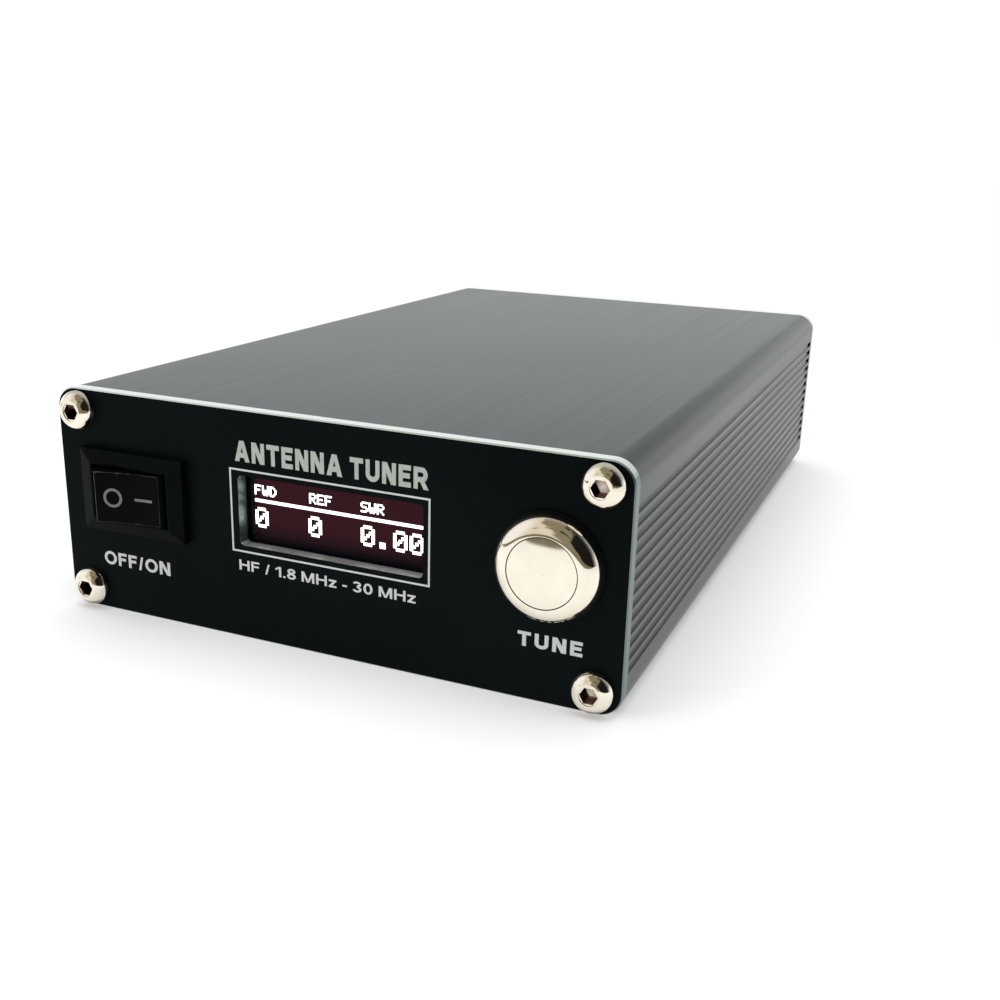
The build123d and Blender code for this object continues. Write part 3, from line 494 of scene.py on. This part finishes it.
def soften(name, width, segments, angle):
    """Bevel the edges of a CAD node that turn by more than angle, so that they catch the light."""
    bevel = nodes[name].modifiers.new("edge", "BEVEL")
    bevel.width = width
    bevel.segments = segments
    bevel.limit_method = "ANGLE"
    bevel.angle_limit = math.radians(angle)
    bevel.harden_normals = False
    bevel.use_clamp_overlap = True


soften("front_panel", 0.08 * MM, segments=2, angle=60)
soften("rear_panel", 0.08 * MM, segments=2, angle=60)
soften("switch_housing", 0.14 * MM, segments=1, angle=20)
soften("switch_rocker", 0.12 * MM, segments=1, angle=40)

# ---------------------------------------------------------------- tune button spring

# The return spring, which stands on its rear end, is a copy of the CAD node's mesh riding on the case.
spring_mesh = nodes["tune_button_spring"].data.copy()
spring = piece("tune_button_return_spring", spring_mesh, finishes["spring_steel"])
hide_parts("tune_button_spring")
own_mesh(spring)

# ---------------------------------------------------------------- coaxial sockets

# The shells are made again with real threads: 24 turns per inch on a 5/8 inch barrel.
thread_pitch = 25.4 * MM / 24
thread_crest, thread_root = 7.94 * MM, 7.42 * MM
flank_rise = 1.25
bore_radius, boss_radius = 6.3 * MM, 7.6 * MM
flange_side, flange_corner, flange_thickness = 25.4 * MM, 1.0 * MM, 1.8 * MM
corner_steps = 15
rows_per_turn = 8
plain_start, tip_chamfer = 0.5 * MM, 0.7 * MM


def round_outline(radius):
    """A circle with as many points, in the same order, as the flange's outline."""
    count = 4 * (corner_steps + 1)
    turns = [math.tau * step / count for step in range(count)]
    return [(radius * math.cos(turn), radius * math.sin(turn)) for turn in turns]


def threaded_shell(node):
    """Square flange, inner boss and threaded barrel of a panel socket, in one skin.

    The thread's flanks rise a little faster than a sharp V's, which leaves a flat crest. The
    thread fades out at both ends of the barrel.
    """
    low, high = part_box(node)
    centre_x, centre_z = (low.x + high.x) / 2, (low.z + high.z) / 2
    barrel_start = rear_y + flange_thickness

    def ring(points, y):
        return [(centre_x + x, y, centre_z + z) for x, z in points]

    def thread_row(y):
        fade = min(1, max(0, (y - barrel_start - plain_start) / thread_pitch))
        fade *= min(1, max(0, (high.y - y - tip_chamfer / 2) / tip_chamfer))
        points = []
        for x, z in round_outline(1):
            phase = (y / thread_pitch - math.atan2(z, x) / math.tau) % 1
            crest = 1 - abs(2 * phase - 1)
            height = fade * min(1, flank_rise * crest)
            radius = thread_root + (thread_crest - thread_root) * height
            points.append((radius * x, radius * z))
        return ring(points, y)

    def build(work):
        flange = rounded_outline(flange_side, flange_side, flange_corner, corner_steps)
        loops = [
            ring(round_outline(bore_radius), low.y),
            ring(round_outline(boss_radius), low.y),
            ring(round_outline(boss_radius), rear_y),
            ring(flange, rear_y),
            ring(flange, barrel_start),
        ]
        rows = round((high.y - barrel_start) / thread_pitch * rows_per_turn)
        for row in range(rows + 1):
            loops.append(thread_row(barrel_start + (high.y - barrel_start) * row / rows))
        loops.append(ring(round_outline(thread_root - tip_chamfer / 2), high.y))
        loops.append(ring(round_outline(bore_radius), high.y))
        add_loops(work, loops, closed=True)

    mesh = mesh_from(node, build)
    shell = piece(node + "_threaded", mesh, finishes["socket_nickel"], smooth=True)
    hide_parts(node)


for node in ("antenna_socket_shell", "radio_socket_shell"):
    threaded_shell(node)

# ---------------------------------------------------------------- printed lettering

ink_thickness = 0.03 * MM
layer_step = 0.01
arc_step = 12
mitre_limit = 0.3

# Letters are drawn in units of the capital height. A stroke is a run of points with a
# thickness, a slab is a polygon, and an arc is a run of points along an ellipse.


def arc(centre_x, centre_y, radius_x, radius_y, start, end):
    """Points along an ellipse between two angles in degrees."""
    steps = max(4, round(abs(end - start) / arc_step))
    angles = [math.radians(start + (end - start) * step / steps) for step in range(steps + 1)]
    return [(centre_x + radius_x * math.cos(a), centre_y + radius_y * math.sin(a)) for a in angles]


def letter_shapes(letter, t):
    """Strokes, slabs and width of a letter, for strokes t thick.

    h is half of a stroke's thickness and d the width of a slanted stroke's foot.
    """
    h = t / 2
    d = 1.22 * t
    strokes, slabs = [], []
    if letter == "A":
        width = 0.94
        middle = width / 2
        for side in (-1, 1):
            foot = middle + side * middle
            slabs.append(
                [
                    (foot, 0),
                    (foot - side * d, 0),
                    (middle - side * 0.02, 0.80),
                    (middle - side * 0.02, 1),
                    (middle + side * 0.62 * t, 1),
                ]
            )
        strokes = [[(0.2, 0.31), (width - 0.2, 0.31)]]
    elif letter == "N":
        width = 0.80
        strokes = [[(h, 0), (h, 1)], [(width - h, 0), (width - h, 1)]]
        slabs = [[(0, 1), (d, 1), (width, 0), (width - d, 0)]]
    elif letter == "T":
        width = 0.78
        strokes = [[(0, 1 - h), (width, 1 - h)], [(width / 2, 0), (width / 2, 1)]]
    elif letter in "EF":
        width = 0.70 if letter == "E" else 0.64
        strokes = [[(h, 0), (h, 1)], [(0, 1 - h), (width, 1 - h)], [(0, 0.52), (width - 0.06, 0.52)]]
        if letter == "E":
            strokes.append([(0, h), (width, h)])
    elif letter == "U":
        width = 0.80
        bowl = arc(width / 2, 0.36, width / 2 - h, 0.36 - h, 180, 360)
        strokes = [[(h, 1)] + bowl + [(width - h, 1)]]
    elif letter in "RD":
        width = 0.82
        foot = 0.44 if letter == "R" else h
        high = 1 - h
        reach = 0.46 if letter == "R" else 0.40
        bend = (high - foot) / 2
        bowl = arc(reach, foot + bend, width - h - reach - 0.03, bend, 90, -90)
        strokes = [[(h, 0), (h, 1)], [(0, high)] + bowl + [(0, foot)]]
        if letter == "R":
            slabs = [[(0.30, 0.46), (0.30 + 1.1 * t, 0.46), (width + 0.04, 0), (width + 0.04 - d, 0)]]
    elif letter == "O":
        width = 0.94
        strokes = [arc(width / 2, 0.5, width / 2 - h, 0.51 - h, 0, 360)]
    elif letter == "C":
        width = 0.86
        strokes = [arc(width / 2 + 0.02, 0.5, width / 2 - h, 0.51 - h, 42, 318)]
    elif letter == "G":
        width = 0.90
        edge = arc(width / 2, 0.5, width / 2 - h, 0.51 - h, 42, 320)
        strokes = [edge + [(width - h, 0.22), (width - h, 0.52)], [(0.5, 0.45), (width, 0.45)]]
    elif letter == "H":
        width = 0.80
        strokes = [[(h, 0), (h, 1)], [(width - h, 0), (width - h, 1)], [(0, 0.52), (width, 0.52)]]
    elif letter == "I":
        width = t
        strokes = [[(h, 0), (h, 1)]]
    elif letter == "M":
        width = 0.96
        strokes = [[(h, 0), (h, 1)], [(width - h, 0), (width - h, 1)]]
        for side, inward in ((0, 1), (width, -1)):
            slabs.append(
                [
                    (side, 1),
                    (side + inward * d, 1),
                    (width / 2 + inward * 0.42 * t, 0),
                    (width / 2 - inward * 0.42 * t, 0),
                ]
            )
    elif letter == "z":
        width = 0.56
        top = 0.73
        strokes = [[(0, h), (width, h)], [(0, top - h), (width, top - h)]]
        slabs = [[(0, h), (d, h), (width, top - h), (width - d, top - h)]]
    elif letter == "0":
        width = 0.66
        strokes = [arc(width / 2, 0.5, width / 2 - h, 0.51 - h, 0, 360)]
    elif letter == "1":
        width = 0.44
        strokes = [[(width - h, 0), (width - h, 1)]]
        slabs = [[(0, 0.62), (width - t, 0.80), (width - 0.2 * t, 1), (width - 0.9 * t, 1), (0, 0.80)]]
    elif letter == "3":
        width = 0.62
        high_bowl = arc(0.29, 0.755, 0.31 - h, 0.255 - h, 165, -90)
        low_bowl = arc(0.29, 0.28, 0.33 - h, 0.29 - h, 90, -165)
        strokes = [high_bowl, low_bowl]
    elif letter == "8":
        width = 0.66
        strokes = [
            arc(width / 2, 0.75, 0.30 - h, 0.26 - h, 0, 360),
            arc(width / 2, 0.28, 0.33 - h, 0.29 - h, 0, 360),
        ]
    elif letter == "/":
        width = 0.36
        slabs = [[(0, 0), (0.8 * t, 0), (width, 1), (width - 0.8 * t, 1)]]
    elif letter == ".":
        width = t
        slabs = [[(0, 0), (t, 0), (t, t), (0, t)]]
    elif letter == "-":
        width = 0.34
        strokes = [[(0, 0.37), (width, 0.37)]]
    else:
        width = 0.16
    return strokes, slabs, width


def stroke_sides(points, half):
    """The two long sides of a stroke, half its thickness out, and whether it is closed.

    Its corners are mitred.
    """
    closed = math.dist(points[0], points[-1]) < 0.001
    sides = []
    for i, (x, y) in enumerate(points):
        before = points[i - 1] if i > 0 else (points[-2] if closed else None)
        after = points[i + 1] if i + 1 < len(points) else (points[1] if closed else None)
        directions = []
        for one, two in ((before, (x, y)), ((x, y), after)):
            if one is not None and two is not None:
                directions.append(Vector((two[0] - one[0], two[1] - one[1])).normalized())
        along = sum(directions, Vector((0, 0))).normalized()
        reach = half / max(mitre_limit, along.dot(directions[0]))
        aside = (-along.y * reach, along.x * reach)
        sides.append(((x + aside[0], y + aside[1]), (x - aside[0], y - aside[1])))
    return sides, closed


def lettering(name, words, left, right, baseline, cap_height, weight, spacing, finish, face):
    """Print words on a panel, fitted between left and right, in millimetres.

    The strokes' thickness and the spacing are in units of the capital height. face is -1 for
    the front panel and 1 for the rear one, where right is less than left.
    """
    placed = []
    pen = 0.0
    for letter in words:
        strokes, slabs, width = letter_shapes(letter, weight)
        placed.append((pen, strokes, slabs))
        pen += width + spacing
    total = pen - spacing
    panel = front_y if face < 0 else rear_y

    def printed(x, y, lift):
        return (
            MM * (left + (right - left) * x / total),
            panel + face * ink_thickness * lift,
            MM * (baseline + cap_height * y),
        )

    def build(work):
        # Each shape is a hair higher than the one before, so no two tops share a level.
        top = 1.0
        for start, strokes, slabs in placed:
            for points in strokes:
                top += layer_step
                sides, closed = stroke_sides(points, weight / 2)
                if closed:
                    sides = sides[:-1]
                loops = []
                for (ax, ay), (bx, by) in sides:
                    corners = ((ax, ay, 0), (ax, ay, top), (bx, by, top), (bx, by, 0))
                    loops.append([printed(start + x, y, lift) for x, y, lift in corners])
                rings = add_loops(work, loops, closed=closed)
                if not closed:
                    work.faces.new(rings[0])
                    work.faces.new(rings[-1])
            for points in slabs:
                top += layer_step
                loops = [[printed(start + x, y, lift) for x, y in points] for lift in (0, top)]
                rings = add_loops(work, loops)
                work.faces.new(rings[0])
                work.faces.new(rings[1])

    piece(name, mesh_from(name, build), finish)


# Name, words, left, right, baseline, capital height, stroke thickness, spacing, ink.
front_prints = (
    ("title_print", "ANTENNA TUNER", -14.6, 18.3, 29.35, 3.3, 0.235, 0.15, grey_ink),
    ("band_print", "HF / 1.8 MHz - 30 MHz", -14.6, 16.4, 11.6, 1.7, 0.17, 0.14, white_ink),
    ("power_print", "OFF/ON", -41.58, -28.2, 8.0, 2.3, 0.2, 0.14, white_ink),
    ("tune_print", "TUNE", 32.73, 42.56, 8.4, 2.25, 0.23, 0.22, white_ink),
)
rear_prints = (
    ("antenna_print", "ANT", 31.3, 24.7, 34.0, 2.0, 0.2, 0.16, white_ink),
    ("radio_print", "RADIO", -22.6, -33.4, 34.0, 2.0, 0.2, 0.16, white_ink),
    ("charge_print", "CHARGE", 6.4, -6.4, 17.0, 1.7, 0.19, 0.16, white_ink),
)
for words_on_panel in front_prints:
    lettering(*words_on_panel, face=-1)
for words_on_panel in rear_prints:
    lettering(*words_on_panel, face=1)

window_left, window_right = -15.75 * MM, 18.7 * MM
window_bottom, window_top = 14.6 * MM, 28.18 * MM
window_line = 0.3 * MM


def window_frame(work):
    """A thin printed line round the display window."""
    loops = []
    for inset, lift in ((0, 0), (0, 1), (window_line, 1), (window_line, 0)):
        y = front_y - lift * ink_thickness
        left, right = window_left + inset, window_right - inset
        bottom, top = window_bottom + inset, window_top - inset
        loops.append([(left, y, bottom), (right, y, bottom), (right, y, top), (left, y, top)])
    add_loops(work, loops, closed=True)


piece("window_frame_print", mesh_from("window_frame_print", window_frame), white_ink)

# ---------------------------------------------------------------- display picture

dot_pitch = 0.2298 * MM
dot_columns, dot_rows = 128, 64
picture_left = -13.05 * MM
picture_top = 25.1 * MM
picture_lift = 0.02 * MM
characters_lift = 0.05 * MM
dot_overlap = 0.14 * dot_pitch
field_top_margin = 4.5 * dot_pitch
haze_bottom, haze_top = 16.3 * MM, 19.2 * MM
cell_columns = 6
glyphs = {
    "F": ("#####", "#....", "#....", "####.", "#....", "#....", "#...."),
    "W": ("#...#", "#...#", "#...#", "#.#.#", "#.#.#", "#.#.#", ".#.#."),
    "D": ("###..", "#..#.", "#...#", "#...#", "#...#", "#..#.", "###.."),
    "R": ("####.", "#...#", "#...#", "####.", "#.#..", "#..#.", "#...#"),
    "E": ("#####", "#....", "#....", "####.", "#....", "#....", "#####"),
    "S": (".####", "#....", "#....", ".###.", "....#", "....#", "####."),
    "0": (".###.", "#...#", "#..##", "#.#.#", "##..#", "#...#", ".###."),
    ".": (".....", ".....", ".....", ".....", ".....", ".##..", ".##.."),
}
# Words, first column, first row, dots per glyph mark.
screen_words = (
    ("FWD", 0, 0, 1),
    ("REF", 43, 0, 1),
    ("SWR", 82, 0, 1),
    ("0", 0, 16, 2),
    ("0", 42, 16, 2),
    ("0.00", 82, 16, 2),
)
rule_rows = (10, 11)


def lit_dots():
    """Columns and rows of the display's lit dots."""
    dots = {(column, row) for column in range(dot_columns) for row in rule_rows}
    for words, first_column, first_row, size in screen_words:
        for number, character in enumerate(words):
            for down, line in enumerate(glyphs[character]):
                for across, mark in enumerate(line):
                    if mark == "#":
                        column = first_column + (number * cell_columns + across) * size
                        row = first_row + down * size
                        dots |= {(column + i, row + j) for i in range(size) for j in range(size)}
    return dots


def screen_characters(work):
    """Lit dots, joined into runs along each row."""
    dots = lit_dots()
    front = glass_front_y - characters_lift
    back = glass_front_y - picture_lift
    for column, row in sorted(dots):
        if (column - 1, row) in dots:
            continue
        last = column
        while (last + 1, row) in dots:
            last += 1
        low_x = picture_left + column * dot_pitch - dot_overlap
        high_x = picture_left + (last + 1) * dot_pitch + dot_overlap
        high_z = picture_top - row * dot_pitch + dot_overlap
        low_z = picture_top - (row + 1) * dot_pitch - dot_overlap
        add_box(work, (low_x, front, low_z), (high_x, back, high_z))


def screen_field(work):
    """The display's active area, with a margin above its top row of dots."""
    low = (picture_left, glass_front_y - picture_lift, picture_top - dot_rows * dot_pitch)
    high = (picture_left + dot_columns * dot_pitch, glass_front_y, picture_top + field_top_margin)
    add_box(work, low, high)


def glow_finish():
    """White light from the lit dots."""
    finish = new_finish("display_light", (0.8, 0.8, 0.8), 0.4)
    tone = grain(finish, 1 / (3 * MM), detail=1.0)
    light = tinted(finish, tone, (0.95, 0.97, 1.0), (1.0, 1.0, 1.0))
    drive(finish, "Emission Color", light)
    shader_input(finish, "Emission Strength").default_value = 1.6
    return finish


def field_finish():
    """Dark wine-red haze behind the characters, fading out below them."""
    finish = new_finish("display_field", (0.002, 0.0015, 0.002), 0.16, specular=0.04)
    tree = finish.node_tree
    place = tree.nodes.new("ShaderNodeTexCoord")
    height = split_axes(tree, place.outputs["Object"])["Z"]
    fade = ranged(finish, height, 0.0, 1.0, haze_bottom, haze_top)
    haze = tinted(finish, fade, (0.0015, 0.001, 0.0022), (0.030, 0.0050, 0.0080), 0.0, 1.0)
    drive(finish, "Emission Color", haze)
    shader_input(finish, "Emission Strength").default_value = 1.0
    return finish


for picture_name, picture_shape, picture_finish in (
    ("display_characters", screen_characters, glow_finish()),
    ("display_field", screen_field, field_finish()),
):
    piece(picture_name, mesh_from(picture_name, picture_shape), picture_finish)

# ---------------------------------------------------------------- rocker marks

joints = {joint["name"]: joint for joint in frame["joints"]}
pivot = Vector(joints["power_rocker"]["pos_m"])
rocker_turn = math.radians(10.5)
face_half = 5.408 * MM
face_distance = 4.6 * MM
face_dip = 0.35 * MM
mark_lift = 0.03 * MM


def on_rocker(along, up, lift):
    """A point of the rocker's face: along it, up from its middle and off it."""
    depth = -face_distance + face_dip * (1 - (along / face_half) ** 2) - lift
    x = pivot.x + along * math.cos(rocker_turn) - depth * math.sin(rocker_turn)
    y = pivot.y + along * math.sin(rocker_turn) + depth * math.cos(rocker_turn)
    return (x, y, pivot.z + up)


off_mark_along, on_mark_along = -2.55 * MM, 2.75 * MM
mark_radius, mark_line = 1.58 * MM, 0.44 * MM
ring_steps = 48
dash_length = 3.1 * MM
dash_steps = 8


def off_mark(work):
    """A ring moulded on the rocker's left half."""
    loops = []
    for step in range(ring_steps):
        angle = math.tau * step / ring_steps
        loop = []
        for inset, lift in ((0, -1), (0, 1), (mark_line, 1), (mark_line, -1)):
            radius = mark_radius - inset
            along = off_mark_along + radius * math.cos(angle)
            loop.append(on_rocker(along, radius * math.sin(angle), lift * mark_lift))
        loops.append(loop)
    add_loops(work, loops, closed=True)


def on_mark(work):
    """A dash moulded on the rocker's right half."""
    loops = []
    for step in range(dash_steps + 1):
        along = on_mark_along + dash_length * (step / dash_steps - 0.5)
        loop = []
        for up, lift in ((-1, -1), (-1, 1), (1, 1), (1, -1)):
            loop.append(on_rocker(along, up * mark_line / 2, lift * mark_lift))
        loops.append(loop)
    rings = add_loops(work, loops)
    work.faces.new(rings[0])
    work.faces.new(rings[-1])


for mark_name, mark_shape in (("rocker_off_mark", off_mark), ("rocker_on_mark", on_mark)):
    piece(mark_name, mesh_from(mark_name, mark_shape), mark_ink, body="rocker")

# ---------------------------------------------------------------- camera


def aim_camera():
    """The camera looks down on the front right corner, with a slight roll."""
    eye = Vector((87.324, -217.244, 77.352)) * MM
    target = Vector((29.405, -77.5, 29.592)) * MM
    roll = 0.02901
    focal_length = 41.17
    sensor_width = 36.0
    nearest, farthest = 0.01, 20.0
    lens = bpy.data.cameras.new("camera")
    lens.lens = focal_length
    lens.sensor_width = sensor_width
    lens.clip_start = nearest
    lens.clip_end = farthest
    camera = bpy.data.objects.new("camera", lens)
    bpy.context.scene.collection.objects.link(camera)
    forward = (target - eye).normalized()
    level = forward.cross(Vector((0, 0, 1))).normalized()
    rise = level.cross(forward)
    right = level * math.cos(roll) + rise * math.sin(roll)
    up = rise * math.cos(roll) - level * math.sin(roll)
    columns = Matrix((right, up, -forward)).transposed().to_4x4()
    camera.matrix_world = Matrix.Translation(eye) @ columns
    bpy.context.scene.camera = camera


aim_camera()

# ---------------------------------------------------------------- studio


def soft_light(name, place, aim, size, power):
    """A square white soft box that doesn't show in reflections."""
    light = bpy.data.lights.new(name, "AREA")
    light.shape = "SQUARE"
    light.size = size
    light.energy = power
    holder = bpy.data.objects.new(name, light)
    holder.location = place
    holder.rotation_euler = (Vector(aim) - Vector(place)).to_track_quat("-Z", "Y").to_euler()
    holder.visible_glossy = False
    bpy.context.scene.collection.objects.link(holder)


def studio_world():
    """Surroundings that light the matt surfaces evenly and give the glossy ones something to show.

    Reflections see pale surroundings behind and to the left, and a dim warm room in front. The
    camera itself sees only a white backdrop.
    """
    world = bpy.data.worlds.new("studio")
    bpy.context.scene.world = world
    world.use_nodes = True
    tree = world.node_tree
    tree.nodes.clear()
    place = tree.nodes.new("ShaderNodeTexCoord")
    toward = split_axes(tree, place.outputs["Generated"])
    seen = tree.nodes.new("ShaderNodeLightPath")

    drift = tree.nodes.new("ShaderNodeTexNoise")
    drift.inputs["Scale"].default_value = 2.2
    drift.inputs["Detail"].default_value = 5.0
    tree.links.new(place.outputs["Generated"], drift.inputs["Vector"])
    ragged = combined(tree, "MULTIPLY_ADD", drift.outputs["Fac"], 1.5, toward["X"])
    warm_side = smooth_range(tree, ragged, 0.42, 0.62)
    dark_side = smooth_range(tree, ragged, 1.02, 1.12)
    left_side = smooth_range(tree, toward["X"], -0.45, -0.75)
    warm_room = mixed(tree, warm_side, (0.80, 0.75, 0.63), (0.27, 0.24, 0.16))
    dim_room = mixed(tree, dark_side, warm_room, (0.012, 0.011, 0.010))
    room = mixed(tree, left_side, dim_room, (1.05, 1.05, 1.08))

    behind = smooth_range(tree, toward["Y"], -0.25, 0.45)
    climb = smooth_range(tree, toward["Z"], 0.08, 0.42)
    back_sky = mixed(tree, climb, (1.24, 1.29, 1.28), (0.55, 0.57, 0.57))
    mirrored = mixed(tree, behind, room, back_sky)
    even = mixed(tree, behind, (0.62, 0.63, 0.63), (0.90, 0.91, 0.91))

    surroundings = tree.nodes.new("ShaderNodeBackground")
    feed(tree, mixed(tree, seen.outputs["Is Glossy Ray"], even, mirrored), surroundings.inputs["Color"])
    backdrop = tree.nodes.new("ShaderNodeBackground")
    feed(tree, (1.0, 1.0, 1.0), backdrop.inputs["Color"])
    feed(tree, 1.05, backdrop.inputs["Strength"])
    shown = mixed_shaders(
        tree,
        seen.outputs["Is Camera Ray"],
        surroundings.outputs["Background"],
        backdrop.outputs["Background"],
    )
    output = tree.nodes.new("ShaderNodeOutputWorld")
    tree.links.new(shown, output.inputs["Surface"])


def studio_floor():
    """A plain pale table top that fades into the white backdrop away from the object.

    Reflections see the dim room in place of what is beyond the table's front edge.
    """
    reach = 4.0
    level = -0.1 * MM
    mesh = bpy.data.meshes.new("floor")
    corners = [(x * reach, y * reach, level) for x, y in ((-1, -1), (1, -1), (1, 1), (-1, 1))]
    mesh.from_pydata(corners, [], [(0, 1, 2, 3)])
    finish = new_finish("floor", (0.90, 0.90, 0.895), 0.9, specular=0.1)
    tree = finish.node_tree
    place = tree.nodes.new("ShaderNodeTexCoord")
    distance = tree.nodes.new("ShaderNodeVectorMath")
    distance.operation = "LENGTH"
    tree.links.new(place.outputs["Object"], distance.inputs[0])
    fade = smooth_range(tree, distance.outputs["Value"], -0.10, 0.42)
    white = tree.nodes.new("ShaderNodeEmission")
    feed(tree, (1.0, 1.0, 1.0), white.inputs["Color"])
    pale = tree.nodes["Principled BSDF"]
    table = mixed_shaders(tree, fade, pale.outputs["BSDF"], white.outputs["Emission"])

    beyond_edge = smooth_range(tree, split_axes(tree, place.outputs["Object"])["Y"], -0.235, -0.27)
    room = tree.nodes.new("ShaderNodeEmission")
    feed(tree, (0.21, 0.185, 0.125), room.inputs["Color"])
    seen = tree.nodes.new("ShaderNodeLightPath")
    mirrored = combined(tree, "MULTIPLY", seen.outputs["Is Glossy Ray"], beyond_edge)
    shown = mixed_shaders(tree, mirrored, table, room.outputs["Emission"])
    tree.links.new(shown, tree.nodes["Material Output"].inputs["Surface"])
    mesh.materials.append(finish)
    floor = bpy.data.objects.new("floor", mesh)
    bpy.context.scene.collection.objects.link(floor)


studio_world()
studio_floor()
soft_light("overhead", place=(0.0, 0.05, 0.75), aim=(0.0, 0.0, 0.0), size=0.9, power=5.0)
soft_light("front_left", place=(-0.55, -0.65, 0.5), aim=(0.0, -0.05, 0.02), size=0.5, power=2.0)

bpy.context.scene.view_settings.view_transform = "Standard"
